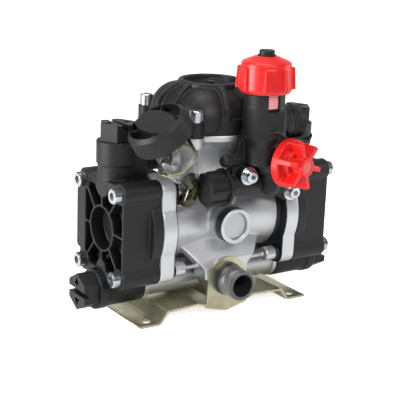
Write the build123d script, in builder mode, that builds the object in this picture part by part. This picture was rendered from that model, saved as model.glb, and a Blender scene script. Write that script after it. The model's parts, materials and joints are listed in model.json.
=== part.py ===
from math import atan2, cos, degrees, radians, sin
import os

from build123d import *

os.makedirs("parts", exist_ok=True)

# Frame: X runs along the two opposed diaphragms, -Y is the front, +Z is up.
# The origin is the centre of the four foot holes, on the face that stands.
# Sizes are millimetres.

# ---- driving dimensions ----
gap = 0.1  # between fixed pieces that slip into one another
run_gap = 0.05  # radial gap of a running or sliding fit
free_gap = 0.4  # radial gap where pieces only pass each other

crank_z = 102.0
stroke_half = 6.0

flange_in = 70.0
flange_out = 87.5
head_face = 132.0
bolt_y = 38.0
bolt_z = 45.0
bolt_boss_r = 12.0
disc_r = 55.5
chamber_r = 45.0
chamber_deep = 12.0

barrel_mid_r = 36.0
barrel_end_r = 44.0
barrel_mid_half = 22.0
barrel_bore_r = 31.0

boss_r = 19.7
boss_y = -59.7
boss_plug_r = 14.5

neck_base_r = 34.0
neck_top_r = 52.0
dome_flange_r = 60.0
dome_split_z = 202.5
dome_flange_t = 16.5
dome_top_z = 252.0
dome_rim_r = 35.0
dome_ear = 50.0
dome_ear_r = 9.0

valve_z = 36.0
tower_x = 114.0
tower_r = 20.5
collar_r = 22.0
tower_top_z = 196.0
collar_h = 24.5
suction_end = 142.0
plug_af = 35.0
plug_h = 18.0
plug_slot = 6.0
valve_bore_r = 13.0

port_r = 16.6
port_bore_r = 12.5
port_z = 39.7
port_y = -76.2
port_seat_r = 19.2
manifold_r = 17.0
manifold_ring_r = 19.5
manifold_bore_r = 11.0

shaft_r = 10.0
shaft_end_y = 112.0
rear_face_y = 62.0
rear_cover_r = 44.0

foot_x = 95.2
foot_y = 35.3
foot_hole_r = 5.0
bracket_half_x = 109.0
bracket_half_y = 47.0
sheet_t = 2.5
lug_r = 24.5

unit_x = 12.0
unit_y = -83.0
unit_r = 22.0
unit_low_r = 17.5
unit_bore_r = 15.0
tube_y = -70.0
tube_z = 151.3
tube_r = 11.6

bottle_x = -52.0
bottle_y = -56.0
bottle_z = 147.6
bottle_tilt = 33.4
ring_d = 41.0
bottle_top_d = 80.0
bottle_r = 22.0


def save(part, name):
    part.label = name
    export_step(part, f"parts/{name}.step")


def cross_plane(x):
    # local x is world Y, local y is world Z, counted from the crank axis
    return Plane(origin=(x, 0, crank_z), x_dir=(0, 1, 0), z_dir=(1, 0, 0))


def front_plane(y, x=0.0, z=0.0):
    # faces the front; local x is world X, local y is world Z
    return Plane(origin=(x, y, z), x_dir=(1, 0, 0), z_dir=(0, -1, 0))


def mirrored(part):
    return part.mirror(Plane.YZ)


four_bolts = [(sy * bolt_y, sz * bolt_z) for sy in (-1, 1) for sz in (-1, 1)]

# ---- screws ----
m10_r = 5.0
m10_head_r = 8.0
m10_head_h = 9.0
m8_r = 4.0
m8_head_r = 6.5
m8_head_h = 8.0
washer_r = 9.8
washer_t = 1.6


def cap_screw(plane, length, body_r, head_r, head_h, socket_r):
    # the plane sits under the head, its z axis points out of the head
    with BuildPart() as screw:
        with BuildSketch(plane):
            Circle(head_r)
        extrude(amount=head_h)
        with BuildSketch(plane):
            Circle(body_r)
        extrude(amount=-length)
        with BuildSketch(plane.offset(head_h)):
            RegularPolygon(socket_r, 6)
        extrude(amount=-head_h * 0.6, mode=Mode.SUBTRACT)
        chamfer(screw.faces().sort_by(Axis(plane.origin, plane.z_dir))[-1].outer_wire().edges(), 0.8)
    return screw.part


def washer(plane, outer_r, inner_r, thick):
    with BuildPart() as ring:
        with BuildSketch(plane):
            Circle(outer_r)
            Circle(inner_r, mode=Mode.SUBTRACT)
        extrude(amount=thick)
    return ring.part


def torus_ring(plane, ring_r, cord_r):
    with BuildPart() as ring:
        with BuildSketch(Plane(origin=plane.origin, x_dir=plane.x_dir, z_dir=plane.y_dir * -1)):
            with Locations((ring_r, 0)):
                Circle(cord_r)
        revolve(axis=Axis(plane.origin, plane.z_dir))
    return ring.part


# ---- crankcase: barrel, two flanges, web, neck for the air chamber ----
head_bolt_len = 62.0
web_y = -44.5
blind_boss_r = 8.0
blind_boss_len = 17.0
neck_bowl_r = 46.0
neck_bowl_z = 160.0
pipe_z = 172.0
pipe_r = 12.5
pipe_seat_x = 53.0
pipe_socket = 12.0
stub_x = 22.0
stub_z = 157.0
stub_y = -54.0
elbow_x = -60.5
elbow_z = 137.0
elbow_seat_y = -47.5
elbow_r = 8.0
spigot_r = 4.2
tilt = radians(bottle_tilt)
bottle_axis = Vector(-sin(tilt), 0, cos(tilt))
bottle_foot = Vector(bottle_x, bottle_y, bottle_z)
bottle_side = Plane(origin=bottle_foot, x_dir=(cos(tilt), 0, sin(tilt)), z_dir=(0, -1, 0))
bottle_line = Axis(bottle_foot, bottle_axis)
unit_boss_x = -3.7
unit_boss_z = 164.1
unit_screw2_x = 74.5
unit_screw2_z = 131.2
rear_boss_y = 50.0
rear_tab_z = 44.0

with BuildPart() as web:
    # inclined front web that carries the bracket
    with BuildSketch(Plane.YZ.offset(-55)):
        with BuildLine():
            Polyline((-30, 86), (web_y, 62), (web_y, port_z), (-20, port_z), (-20, 86), close=True)
        make_face()
    extrude(amount=110)
    with BuildSketch(Plane.XZ.offset(60)):
        with BuildLine():
            Polyline(
                (-52, 78), (-28, 52), (-25, 30), (25, 30), (28, 52), (48, 78), (20, 90), (-20, 90), close=True
            )
        make_face()
    extrude(amount=-60, mode=Mode.INTERSECT)

with BuildPart() as crankcase:
    with BuildSketch(Plane.XZ):
        with BuildLine():
            Polyline(
                (-flange_in, crank_z),
                (-flange_in, crank_z + barrel_end_r),
                (-barrel_mid_half, crank_z + barrel_mid_r),
                (barrel_mid_half, crank_z + barrel_mid_r),
                (flange_in, crank_z + barrel_end_r),
                (flange_in, crank_z),
                close=True,
            )
        make_face()
    revolve(axis=Axis((0, 0, crank_z), (1, 0, 0)))
    for side in (-1, 1):
        with BuildSketch(cross_plane(side * flange_in)):
            RectangleRounded(2 * (bolt_y + bolt_boss_r), 2 * (bolt_z + bolt_boss_r), bolt_boss_r)
        extrude(amount=side * (flange_out - flange_in))
        with BuildSketch(cross_plane(side * flange_in)):
            Circle(disc_r)
        extrude(amount=side * (flange_out - flange_in))
        with BuildSketch(cross_plane(side * flange_in)):
            with Locations(*four_bolts):
                Circle(blind_boss_r)
        extrude(amount=-side * blind_boss_len)
    # thin cast runners between the lower blind bosses
    for y in (-bolt_y, bolt_y):
        with BuildSketch(Plane.YZ.offset(-flange_in)):
            with Locations((y, crank_z - bolt_z)):
                Circle(2.4)
        extrude(amount=2 * flange_in)
    add(web.part)
    # bearing boss in front, cover seat behind
    with BuildSketch(front_plane(boss_y, 0, crank_z)):
        Circle(boss_r)
    extrude(amount=boss_y)
    with BuildSketch(front_plane(rear_boss_y, 0, crank_z)):
        Circle(rear_cover_r)
    extrude(amount=rear_boss_y)
    # conical neck
    with BuildSketch(Plane.XZ):
        with BuildLine():
            Polyline(
                (0, crank_z),
                (neck_base_r, crank_z),
                (neck_base_r + 2, 140),
                (neck_top_r, 188),
                (dome_flange_r, dome_split_z - 7),
                (dome_flange_r, dome_split_z),
                (0, dome_split_z),
                close=True,
            )
        make_face()
    revolve(axis=Axis.Z)
    with BuildSketch(Plane.XY.offset(dome_split_z)):
        with GridLocations(2 * dome_ear, 2 * dome_ear, 2, 2):
            Circle(dome_ear_r)
        with Locations((0, 0, 0)):
            Rectangle(2.83 * dome_ear, 14, rotation=45)
            Rectangle(2.83 * dome_ear, 14, rotation=-45)
    extrude(amount=-12)
    # bosses that carry the control unit
    for x, z, r, y in ((stub_x, stub_z, 14.0, stub_y), (unit_boss_x, unit_boss_z, 9.5, stub_y)):
        with BuildSketch(front_plane(y, x, z)):
            Circle(r)
        extrude(amount=y)
    with BuildSketch(front_plane(-50, unit_screw2_x, unit_screw2_z)):
        Circle(9.5)
    extrude(amount=-14)
    # boss for the oil bottle's elbow
    with BuildSketch(front_plane(elbow_seat_y, elbow_x, elbow_z)):
        Circle(elbow_r + 0.5)
    extrude(amount=elbow_seat_y + 10)
    # relief under the ear beside the oil bottle
    with BuildSketch(bottle_side):
        with BuildLine():
            Polyline(
                (0, 10), (12, 10), (bottle_r + 1.6, ring_d - 3), (bottle_r + 1.6, ring_d + 12), (0, ring_d + 12),
                close=True,
            )
        make_face()
    revolve(axis=bottle_line, mode=Mode.SUBTRACT)
    # delivery pipe seats
    for side in (-1, 1):
        with BuildSketch(cross_plane(side * pipe_seat_x)):
            with Locations((0, pipe_z - crank_z)):
                Circle(pipe_r + 3)
        extrude(amount=-side * 30)
    # ---- hollows ----
    with BuildSketch(cross_plane(-flange_out)):
        Circle(barrel_bore_r)
    extrude(amount=2 * flange_out, mode=Mode.SUBTRACT)
    with BuildSketch(front_plane(rear_boss_y, 0, crank_z)):
        Circle(barrel_bore_r - 0.5)
    extrude(amount=rear_boss_y + 12, mode=Mode.SUBTRACT)
    for side in (-1, 1):
        with BuildSketch(cross_plane(side * flange_out)):
            Circle(chamber_r)
        extrude(amount=-side * chamber_deep, mode=Mode.SUBTRACT)
        with BuildSketch(cross_plane(side * flange_out)):
            with Locations(*four_bolts):
                Circle(m10_r + gap)
        extrude(amount=-side * 29, mode=Mode.SUBTRACT)
        for radius, deep in ((pipe_r + gap, pipe_socket), (9, 32)):
            with BuildSketch(cross_plane(side * pipe_seat_x)):
                with Locations((0, pipe_z - crank_z)):
                    Circle(radius)
            extrude(amount=-side * deep, mode=Mode.SUBTRACT)
    # air chamber bowl
    with BuildSketch(Plane.XZ):
        with BuildLine():
            Polyline((0, neck_bowl_z), (24, neck_bowl_z), (neck_bowl_r, dome_split_z), (0, dome_split_z), close=True)
        make_face()
    revolve(axis=Axis.Z, mode=Mode.SUBTRACT)
    # front bearing seat and plug recess
    with BuildSketch(front_plane(boss_y, 0, crank_z)):
        Circle(boss_plug_r + gap)
    extrude(amount=boss_y + 25, mode=Mode.SUBTRACT)
    # outlet to the control unit and its screw holes
    with BuildSketch(front_plane(stub_y, stub_x, stub_z)):
        Circle(7)
    extrude(amount=-26, mode=Mode.SUBTRACT)
    with BuildSketch(front_plane(stub_y, unit_boss_x, unit_boss_z)):
        Circle(m8_r + gap)
    extrude(amount=-14, mode=Mode.SUBTRACT)
    with BuildSketch(front_plane(-50, unit_screw2_x, unit_screw2_z)):
        Circle(m8_r + gap)
    extrude(amount=-13, mode=Mode.SUBTRACT)
    # seat for the suction port and manifold
    with BuildSketch(front_plane(-60, 0, port_z)):
        Circle(port_seat_r + free_gap)
    extrude(amount=-60, mode=Mode.SUBTRACT)
    with BuildSketch(front_plane(elbow_seat_y, elbow_x, elbow_z)):
        Circle(spigot_r + gap)
    extrude(amount=-24, mode=Mode.SUBTRACT)
    # seat of the suction manifold
    for radius, x, length in (
        (manifold_r + free_gap, -flange_out, 2 * flange_out),
        (manifold_ring_r + free_gap, -flange_out, 5.4),
        (manifold_ring_r + free_gap, flange_out - 5.4, 5.4),
    ):
        with BuildSketch(cross_plane(x)):
            with Locations((0, valve_z - crank_z)):
                Circle(radius)
        extrude(amount=length, mode=Mode.SUBTRACT)
    # dome screw holes
    with BuildSketch(Plane.XY.offset(dome_split_z)):
        with GridLocations(2 * dome_ear, 2 * dome_ear, 2, 2):
            Circle(m8_r + gap)
    extrude(amount=-11, mode=Mode.SUBTRACT)
    # rear cover screw holes
    with BuildSketch(front_plane(rear_boss_y, 0, crank_z)):
        with PolarLocations(37.5, 4, start_angle=45):
            Circle(2.6)
    extrude(amount=12, mode=Mode.SUBTRACT)
    # rear pad for the bracket
    with BuildSketch(front_plane(44.5, 0, 51)):
        Rectangle(52, 30)
    extrude(amount=22)
    with BuildSketch(front_plane(44.5, 0, rear_tab_z)):
        with Locations((-16, 0), (16, 0)):
            Circle(m8_r + gap)
    extrude(amount=14, mode=Mode.SUBTRACT)
save(crankcase.part, "crankcase")

# ---- heads: pump chamber, valve tower, suction valve housing ----
passage_r = 6.0
seat_z = 153.0
seat_x = 103.0
plug_shank_r = 15.0
plug_shank_h = 14.0
cup_r = 22.9
cup_deep = 16.0
pocket_deep = 13.0
rib_t = 2.4
membrane_t = 3.0
membrane_r = 50.0
bolt_rib_angle = 49.8
end_z = valve_z - crank_z

with BuildPart() as head_right:
    with BuildSketch(cross_plane(flange_out)):
        RectangleRounded(2 * (bolt_y + 9), 2 * (bolt_z + 9), 10)
        with Locations(*four_bolts):
            Circle(bolt_boss_r)
        with Locations((bolt_y + 7, 0)):
            RectangleRounded(20, 69, 5)
    extrude(amount=head_face - flange_out)
    with BuildSketch(cross_plane(flange_out)):
        Circle(disc_r)
    extrude(amount=12)
    # valve tower and its link to the delivery pipe
    with BuildSketch(Plane.XY.offset(150)):
        with Locations((tower_x, 0)):
            Circle(tower_r)
    extrude(amount=tower_top_z - 150)
    with BuildSketch(Plane.XY.offset(tower_top_z)):
        with Locations((tower_x, 0)):
            Circle(collar_r)
    extrude(amount=-collar_h)
    with BuildSketch(Plane.XY.offset(151)):
        with Locations(((flange_out + tower_x) / 2, 0)):
            Rectangle(tower_x - flange_out, 36)
    extrude(amount=37)
    # suction valve housing
    with BuildSketch(cross_plane(flange_out)):
        with Locations((0, end_z)):
            Circle(tower_r)
    extrude(amount=suction_end - flange_out)
    with BuildSketch(cross_plane(suction_end)):
        with Locations((0, end_z)):
            Circle(collar_r)
    extrude(amount=-11)
    # ribbed end face around the centre cup
    with BuildSketch(cross_plane(head_face)):
        with Locations((-4, 0)):
            RectangleRounded(80, 90, 6)
        Circle(cup_r + 2.5, mode=Mode.SUBTRACT)
        for turn in (0, 90, bolt_rib_angle, -bolt_rib_angle):
            Rectangle(150, rib_t, rotation=turn, mode=Mode.SUBTRACT)
        with Locations(*four_bolts):
            Circle(bolt_boss_r - 1.5, mode=Mode.SUBTRACT)
        with Locations((0, 48)):
            Circle(14, mode=Mode.SUBTRACT)
        with Locations((0, -44)):
            Circle(9.5, mode=Mode.SUBTRACT)
    extrude(amount=-pocket_deep, mode=Mode.SUBTRACT)
    with BuildSketch(cross_plane(head_face)):
        Circle(cup_r)
    extrude(amount=-cup_deep, mode=Mode.SUBTRACT)
    # head screw holes
    with BuildSketch(cross_plane(flange_out)):
        with Locations(*four_bolts):
            Circle(m10_r + gap)
    extrude(amount=head_face - flange_out, mode=Mode.SUBTRACT)
    # seat of the diaphragm and the pump chamber
    for radius, deep in ((membrane_r + gap, membrane_t), (chamber_r, 10.0), (33.0, 20.0)):
        with BuildSketch(cross_plane(flange_out)):
            Circle(radius)
        extrude(amount=deep, mode=Mode.SUBTRACT)
    # delivery side: passage, valve bore, plug bore, pipe seat
    for x, z, deep in ((tower_x - 8, 132, 24), (119, valve_z, 32)):
        with BuildSketch(Plane.XY.offset(z)):
            with Locations((x, 0)):
                Circle(passage_r)
        extrude(amount=deep, mode=Mode.SUBTRACT)
    for z, deep in ((134 - crank_z, tower_x - 2 - flange_out), (66 - crank_z, 125 - flange_out)):
        with BuildSketch(cross_plane(flange_out)):
            with Locations((0, z)):
                Circle(passage_r)
        extrude(amount=deep, mode=Mode.SUBTRACT)
    for radius, z in ((valve_bore_r, seat_z), (plug_shank_r + gap, tower_top_z - plug_shank_h)):
        with BuildSketch(Plane.XY.offset(z)):
            with Locations((tower_x, 0)):
                Circle(radius)
        extrude(amount=tower_top_z - z, mode=Mode.SUBTRACT)
    for radius, deep in ((9.0, tower_x - flange_out), (pipe_r + gap, 10.0)):
        with BuildSketch(cross_plane(flange_out)):
            with Locations((0, pipe_z - crank_z)):
                Circle(radius)
        extrude(amount=deep, mode=Mode.SUBTRACT)
    # suction side: seat hole, valve bore, plug bore
    for radius, x in ((9.0, flange_out), (valve_bore_r, seat_x), (plug_shank_r + gap, suction_end - plug_shank_h)):
        with BuildSketch(cross_plane(x)):
            with Locations((0, end_z)):
                Circle(radius)
        extrude(amount=suction_end - x, mode=Mode.SUBTRACT)
save(head_right.part, "head_right")
with BuildPart() as head_left:
    add(mirrored(head_right.part))
save(head_left.part, "head_left")


# ---- valve plugs ----
def hex_plug(plane):
    # plane: sealing face, z axis out of the housing; the slot runs along local y
    with BuildPart() as plug:
        with BuildSketch(plane):
            RegularPolygon(plug_af / 2, 6, major_radius=False)
        extrude(amount=plug_h)
        with BuildSketch(plane):
            Circle(plug_shank_r)
        extrude(amount=-plug_shank_h + 0.2)
        with BuildSketch(plane.offset(plug_h)):
            Rectangle(plug_slot, plug_af + 6)
            for turn in (-1, 1):
                with Locations((turn * 10.5, 0)):
                    RegularPolygon(5.5, 3, rotation=90 - turn * 90)
        extrude(amount=-7, mode=Mode.SUBTRACT)
        # groove for the ring
        with BuildSketch(plane.offset(-2.6)):
            Circle(plug_shank_r + 1)
            Circle(plug_shank_r - 2.3, mode=Mode.SUBTRACT)
        extrude(amount=2.2, mode=Mode.SUBTRACT)
    return plug.part


def delivery_plane(side):
    return Plane(origin=(side * tower_x, 0, tower_top_z), x_dir=(1, 0, 0), z_dir=(0, 0, 1))


def suction_plane(side):
    return Plane(origin=(side * suction_end, 0, valve_z), x_dir=(0, 0, 1), z_dir=(side, 0, 0))


sides = {"left": -1, "right": 1}
for kind, where in (("delivery", delivery_plane), ("suction", suction_plane)):
    with BuildPart() as plugs:
        for side in (-1, 1):
            add(hex_plug(where(side)))
    save(plugs.part, f"{kind}_valve_plugs")

with BuildPart() as plug_rings:
    for side in (-1, 1):
        for plane in (delivery_plane(side), suction_plane(side)):
            add(torus_ring(plane.offset(-1.5), plug_shank_r - 1.1, 1.0))
save(plug_rings.part, "plug_o_rings")

# ---- valves: seat, poppet, spring ----
poppet_r = 9.5
seat_t = 7.0
poppet_t = 2.0
wire_r = 0.6


def valve_seat(plane):
    with BuildPart() as seat:
        with BuildSketch(plane):
            Circle(valve_bore_r - gap)
            Circle(6.5, mode=Mode.SUBTRACT)
        extrude(amount=seat_t)
    return seat.part


def poppet(plane):
    with BuildPart() as disc:
        with BuildSketch(plane.offset(seat_t)):
            Circle(poppet_r)
        extrude(amount=poppet_t)
        with BuildSketch(plane.offset(seat_t + poppet_t)):
            Circle(3)
        extrude(amount=5)
    return disc.part


def coil_spring(plane, ring_r, wire, height, turns):
    # stands on the plane; the wire's centre line starts one wire radius up
    rise = height - 2 * wire - 0.2
    with BuildPart() as spring:
        with BuildLine() as line:
            Helix(pitch=rise / turns, height=rise, radius=ring_r)
        with BuildSketch(Plane(origin=line.line @ 0, z_dir=line.line % 0)):
            Circle(wire)
        sweep(is_frenet=True)
    return plane.offset(wire + 0.1).location * spring.part


def delivery_seat_plane(side):
    return Plane(origin=(side * tower_x, 0, seat_z), x_dir=(1, 0, 0), z_dir=(0, 0, 1))


def suction_seat_plane(side):
    return Plane(origin=(side * seat_x, 0, valve_z), x_dir=(0, 0, 1), z_dir=(side, 0, 0))


delivery_room = tower_top_z - plug_shank_h - seat_z - seat_t - poppet_t
suction_room = suction_end - plug_shank_h - seat_x - seat_t - poppet_t
valve_spots = [
    (f"{kind}_poppet_{name}", where(side), room)
    for name, side in sides.items()
    for kind, where, room in (
        ("delivery", delivery_seat_plane, delivery_room),
        ("suction", suction_seat_plane, suction_room),
    )
]
with BuildPart() as valve_springs:
    for name, plane, room in valve_spots:
        save(poppet(plane), name)
        add(coil_spring(plane.offset(seat_t + poppet_t), 5.5, wire_r, room, 5))
save(valve_springs.part, "valve_springs")
with BuildPart() as valve_seats:
    for side in (-1, 1):
        add(valve_seat(delivery_seat_plane(side)))
        add(valve_seat(suction_seat_plane(side)))
save(valve_seats.part, "valve_seats")

# ---- diaphragms and their drive ----
clamp_r = 28.0
rod_r = 7.0
piston_r = 24.0
liner_t = 6.5
with BuildPart() as diaphragm_right:
    with BuildSketch(cross_plane(flange_out)):
        Circle(membrane_r)
        Circle(rod_r + gap, mode=Mode.SUBTRACT)
    extrude(amount=membrane_t)
save(diaphragm_right.part, "diaphragm_right")
save(mirrored(diaphragm_right.part), "diaphragm_left")

with BuildPart() as clamp_discs:
    for side in (-1, 1):
        for x, thick in ((flange_out - 3, 3), (flange_out + membrane_t, 3)):
            with BuildSketch(cross_plane(side * x)):
                Circle(clamp_r)
                Circle(rod_r + gap, mode=Mode.SUBTRACT)
            extrude(amount=side * thick)
save(clamp_discs.part, "diaphragm_clamp_discs")

disc_stack = flange_out + membrane_t + 3
with BuildPart() as clamp_screws:
    for side in (-1, 1):
        plane = cross_plane(side * disc_stack)
        if side < 0:
            plane = Plane(origin=plane.origin, x_dir=(0, -1, 0), z_dir=(-1, 0, 0))
        add(cap_screw(plane, 22, m8_r, 10.0, 6.0, 4.0))
save(clamp_screws.part, "diaphragm_screws")

ecc_r = 11.0
roller_r = 15.0
yoke_y = 11.0
window_x = roller_r + 2 * stroke_half + free_gap
window_z = roller_r + stroke_half + free_gap
yoke_x = window_x + 6.5
yoke_z = window_z + 4.6
with BuildPart() as yoke:
    with BuildSketch(cross_plane(-yoke_x)):
        Rectangle(2 * yoke_y, 2 * yoke_z)
    extrude(amount=2 * yoke_x)
    with BuildSketch(front_plane(-yoke_y, 0, crank_z)):
        Rectangle(2 * window_x, 2 * window_z)
    extrude(amount=-2 * yoke_y, mode=Mode.SUBTRACT)
    for side in (-1, 1):
        with BuildSketch(cross_plane(side * yoke_x)):
            Circle(rod_r)
        extrude(amount=side * (disc_stack - yoke_x))
        with BuildSketch(cross_plane(side * disc_stack)):
            Circle(m8_r + gap)
        extrude(amount=-side * 23, mode=Mode.SUBTRACT)
save(yoke.part, "piston_yoke")

with BuildPart() as pistons:
    for side in (-1, 1):
        with BuildSketch(cross_plane(side * 50)):
            Circle(piston_r)
            Circle(rod_r + gap, mode=Mode.SUBTRACT)
        extrude(amount=side * 20)
        for x in (53, 64):
            with BuildSketch(cross_plane(side * x)):
                Circle(piston_r + 1)
                Circle(piston_r - 2.5, mode=Mode.SUBTRACT)
            extrude(amount=side * 2.5, mode=Mode.SUBTRACT)
save(pistons.part, "pistons")

with BuildPart() as piston_rings:
    for side in (-1, 1):
        for x in (53, 64):
            with BuildSketch(cross_plane(side * (x + 0.1))):
                Circle(piston_r)
                Circle(piston_r - 2.3, mode=Mode.SUBTRACT)
            extrude(amount=side * 2.3)
save(piston_rings.part, "piston_rings")

with BuildPart() as liners:
    for side in (-1, 1):
        with BuildSketch(cross_plane(side * 43)):
            Circle(barrel_bore_r - gap)
            Circle(piston_r + run_gap, mode=Mode.SUBTRACT)
        extrude(amount=side * (flange_out - chamber_deep - 43))
save(liners.part, "cylinder_liners")

# ---- crankshaft and its bearings ----
front_journal_r = 6.0
rear_journal_r = 12.5
front_race = (-46.0, 9.0)
rear_race = (40.0, 15.0)
rear_race_r = 26.0
race_wall = 3.2
front_plug_y = -56.5
cover_y = 62.0
seal_r = 17.5
key_w = 6.0
key_len = 22.0
key_depth = 3.5
key_y = 87.5


def along_y(y, z=0.0, x=0.0):
    # stands at y and looks to the rear; local x is world X, local y is world -Z
    return Plane(origin=(x, y, crank_z + z), x_dir=(1, 0, 0), z_dir=(0, 1, 0))


with BuildPart() as crankshaft:
    for y, length, radius, z in (
        (front_race[0] - 1, 18.0, front_journal_r, 0),
        (-29.0, 20.0, 9.0, 0),
        (-9.0, 18.0, ecc_r, stroke_half),
        (9.0, 31.0, 9.0, 0),
        (40.0, 20.0, rear_journal_r, 0),
        (60.0, shaft_end_y - 60, shaft_r, 0),
    ):
        with BuildSketch(along_y(y, z)):
            Circle(radius)
        extrude(amount=length)
    # open keyway for the driving hub's own key
    with BuildSketch(Plane.XY.offset(crank_z + shaft_r - key_depth)):
        with Locations((0, key_y + key_len / 2)):
            Rectangle(key_w, key_len)
    extrude(amount=2 * key_depth, mode=Mode.SUBTRACT)
    chamfer(crankshaft.faces().sort_by(Axis.Y)[-1].outer_wire().edges(), 1.2)
save(crankshaft.part, "crankshaft")

with BuildPart() as roller:
    with BuildSketch(along_y(-8, stroke_half)):
        Circle(roller_r)
        Circle(ecc_r + gap / 2, mode=Mode.SUBTRACT)
    extrude(amount=16)
save(roller.part, "eccentric_bearing")


def bearing(y, width, bore_r, outer_r, ball_r):
    mid = (bore_r + outer_r) / 2
    with BuildPart() as inner:
        with BuildSketch(along_y(y)):
            Circle(mid - ball_r * 0.55)
            Circle(bore_r + gap / 2, mode=Mode.SUBTRACT)
        extrude(amount=width)
    with BuildPart() as outer:
        with BuildSketch(along_y(y)):
            Circle(outer_r - gap / 2)
            Circle(mid + ball_r * 0.55, mode=Mode.SUBTRACT)
        extrude(amount=width)
    return inner.part, outer.part


for name, (y, width), bore_r, outer_r, ball_r in (
    ("front", front_race, front_journal_r, boss_plug_r, 2.4),
    ("rear", rear_race, rear_journal_r, rear_race_r, 4.0),
):
    inner, outer = bearing(y, width, bore_r, outer_r, ball_r)
    save(inner, f"{name}_bearing_inner_race")
    save(outer, f"{name}_bearing_outer_race")

with BuildPart() as front_plug:
    with BuildSketch(front_plane(front_plug_y, 0, crank_z)):
        Circle(boss_plug_r)
    extrude(amount=-6)
    fillet(front_plug.faces().sort_by(Axis.Y)[0].edges(), 0.8)
save(front_plug.part, "front_bearing_plug")

with BuildPart() as rear_cover:
    with BuildSketch(along_y(rear_boss_y)):
        Circle(rear_cover_r)
    extrude(amount=cover_y - rear_boss_y)
    with BuildSketch(along_y(rear_race[0] - 4)):
        Circle(barrel_bore_r - 0.5 - gap)
    extrude(amount=rear_boss_y - rear_race[0] + 4)
    with BuildSketch(along_y(rear_race[0] - 4)):
        Circle(rear_race_r)
    extrude(amount=19, mode=Mode.SUBTRACT)
    with BuildSketch(along_y(rear_race[0])):
        Circle(seal_r)
    extrude(amount=cover_y - rear_race[0], mode=Mode.SUBTRACT)
    with BuildSketch(along_y(rear_boss_y)):
        with PolarLocations(37.5, 4, start_angle=45):
            Circle(2.6)
    extrude(amount=cover_y - rear_boss_y, mode=Mode.SUBTRACT)
    chamfer(rear_cover.faces().sort_by(Axis.Y)[-1].outer_wire().edges(), 1.5)
save(rear_cover.part, "rear_cover")

with BuildPart() as oil_seal:
    with BuildSketch(along_y(rear_race[0] + 16)):
        Circle(seal_r - gap)
        Circle(rear_journal_r + run_gap, mode=Mode.SUBTRACT)
    extrude(amount=4)
save(oil_seal.part, "oil_seal")

with BuildPart() as cover_screws:
    for turn in (45, 135, 225, 315):
        x = 37.5 * cos(radians(turn))
        z = 37.5 * sin(radians(turn))
        add(cap_screw(along_y(cover_y, z, x), 22, 2.5, 4.2, 5.0, 2.2))
save(cover_screws.part, "rear_cover_screws")

# ---- suction manifold, port and base bracket ----
port_shoulder_r = 18.4
lug_y = -44.5
with BuildPart() as manifold:
    with BuildSketch(cross_plane(-flange_out)):
        with Locations((0, end_z)):
            Circle(manifold_r)
    extrude(amount=2 * flange_out)
    for side in (-1, 1):
        with BuildSketch(cross_plane(side * flange_out)):
            with Locations((0, end_z)):
                Circle(manifold_ring_r)
        extrude(amount=-side * 5)
    with BuildSketch(front_plane(lug_y, 0, port_z)):
        Circle(port_seat_r)
    extrude(amount=lug_y)
    with BuildSketch(cross_plane(-flange_out)):
        with Locations((0, end_z)):
            Circle(manifold_bore_r)
    extrude(amount=2 * flange_out, mode=Mode.SUBTRACT)
    with BuildSketch(front_plane(lug_y, 0, port_z)):
        Circle(port_r - 1)
    extrude(amount=-22, mode=Mode.SUBTRACT)
    with BuildSketch(front_plane(lug_y, 0, port_z)):
        Circle(port_bore_r - 3)
    extrude(amount=lug_y, mode=Mode.SUBTRACT)
save(manifold.part, "suction_manifold")

with BuildPart() as port:
    with BuildSketch(front_plane(port_y, 0, port_z)):
        Circle(port_r)
    extrude(amount=port_y - lug_y + sheet_t)
    with BuildSketch(front_plane(lug_y - sheet_t, 0, port_z)):
        Circle(port_r - 1 - gap)
    extrude(amount=-20)
    with BuildSketch(front_plane(lug_y - sheet_t, 0, port_z)):
        Circle(port_shoulder_r)
    extrude(amount=3)
    chamfer(port.faces().sort_by(Axis.Y)[0].outer_wire().edges(), 1.2)
    with BuildSketch(front_plane(port_y, 0, port_z)):
        Circle(port_bore_r)
    extrude(amount=-70, mode=Mode.SUBTRACT)
save(port.part, "suction_port")

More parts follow.
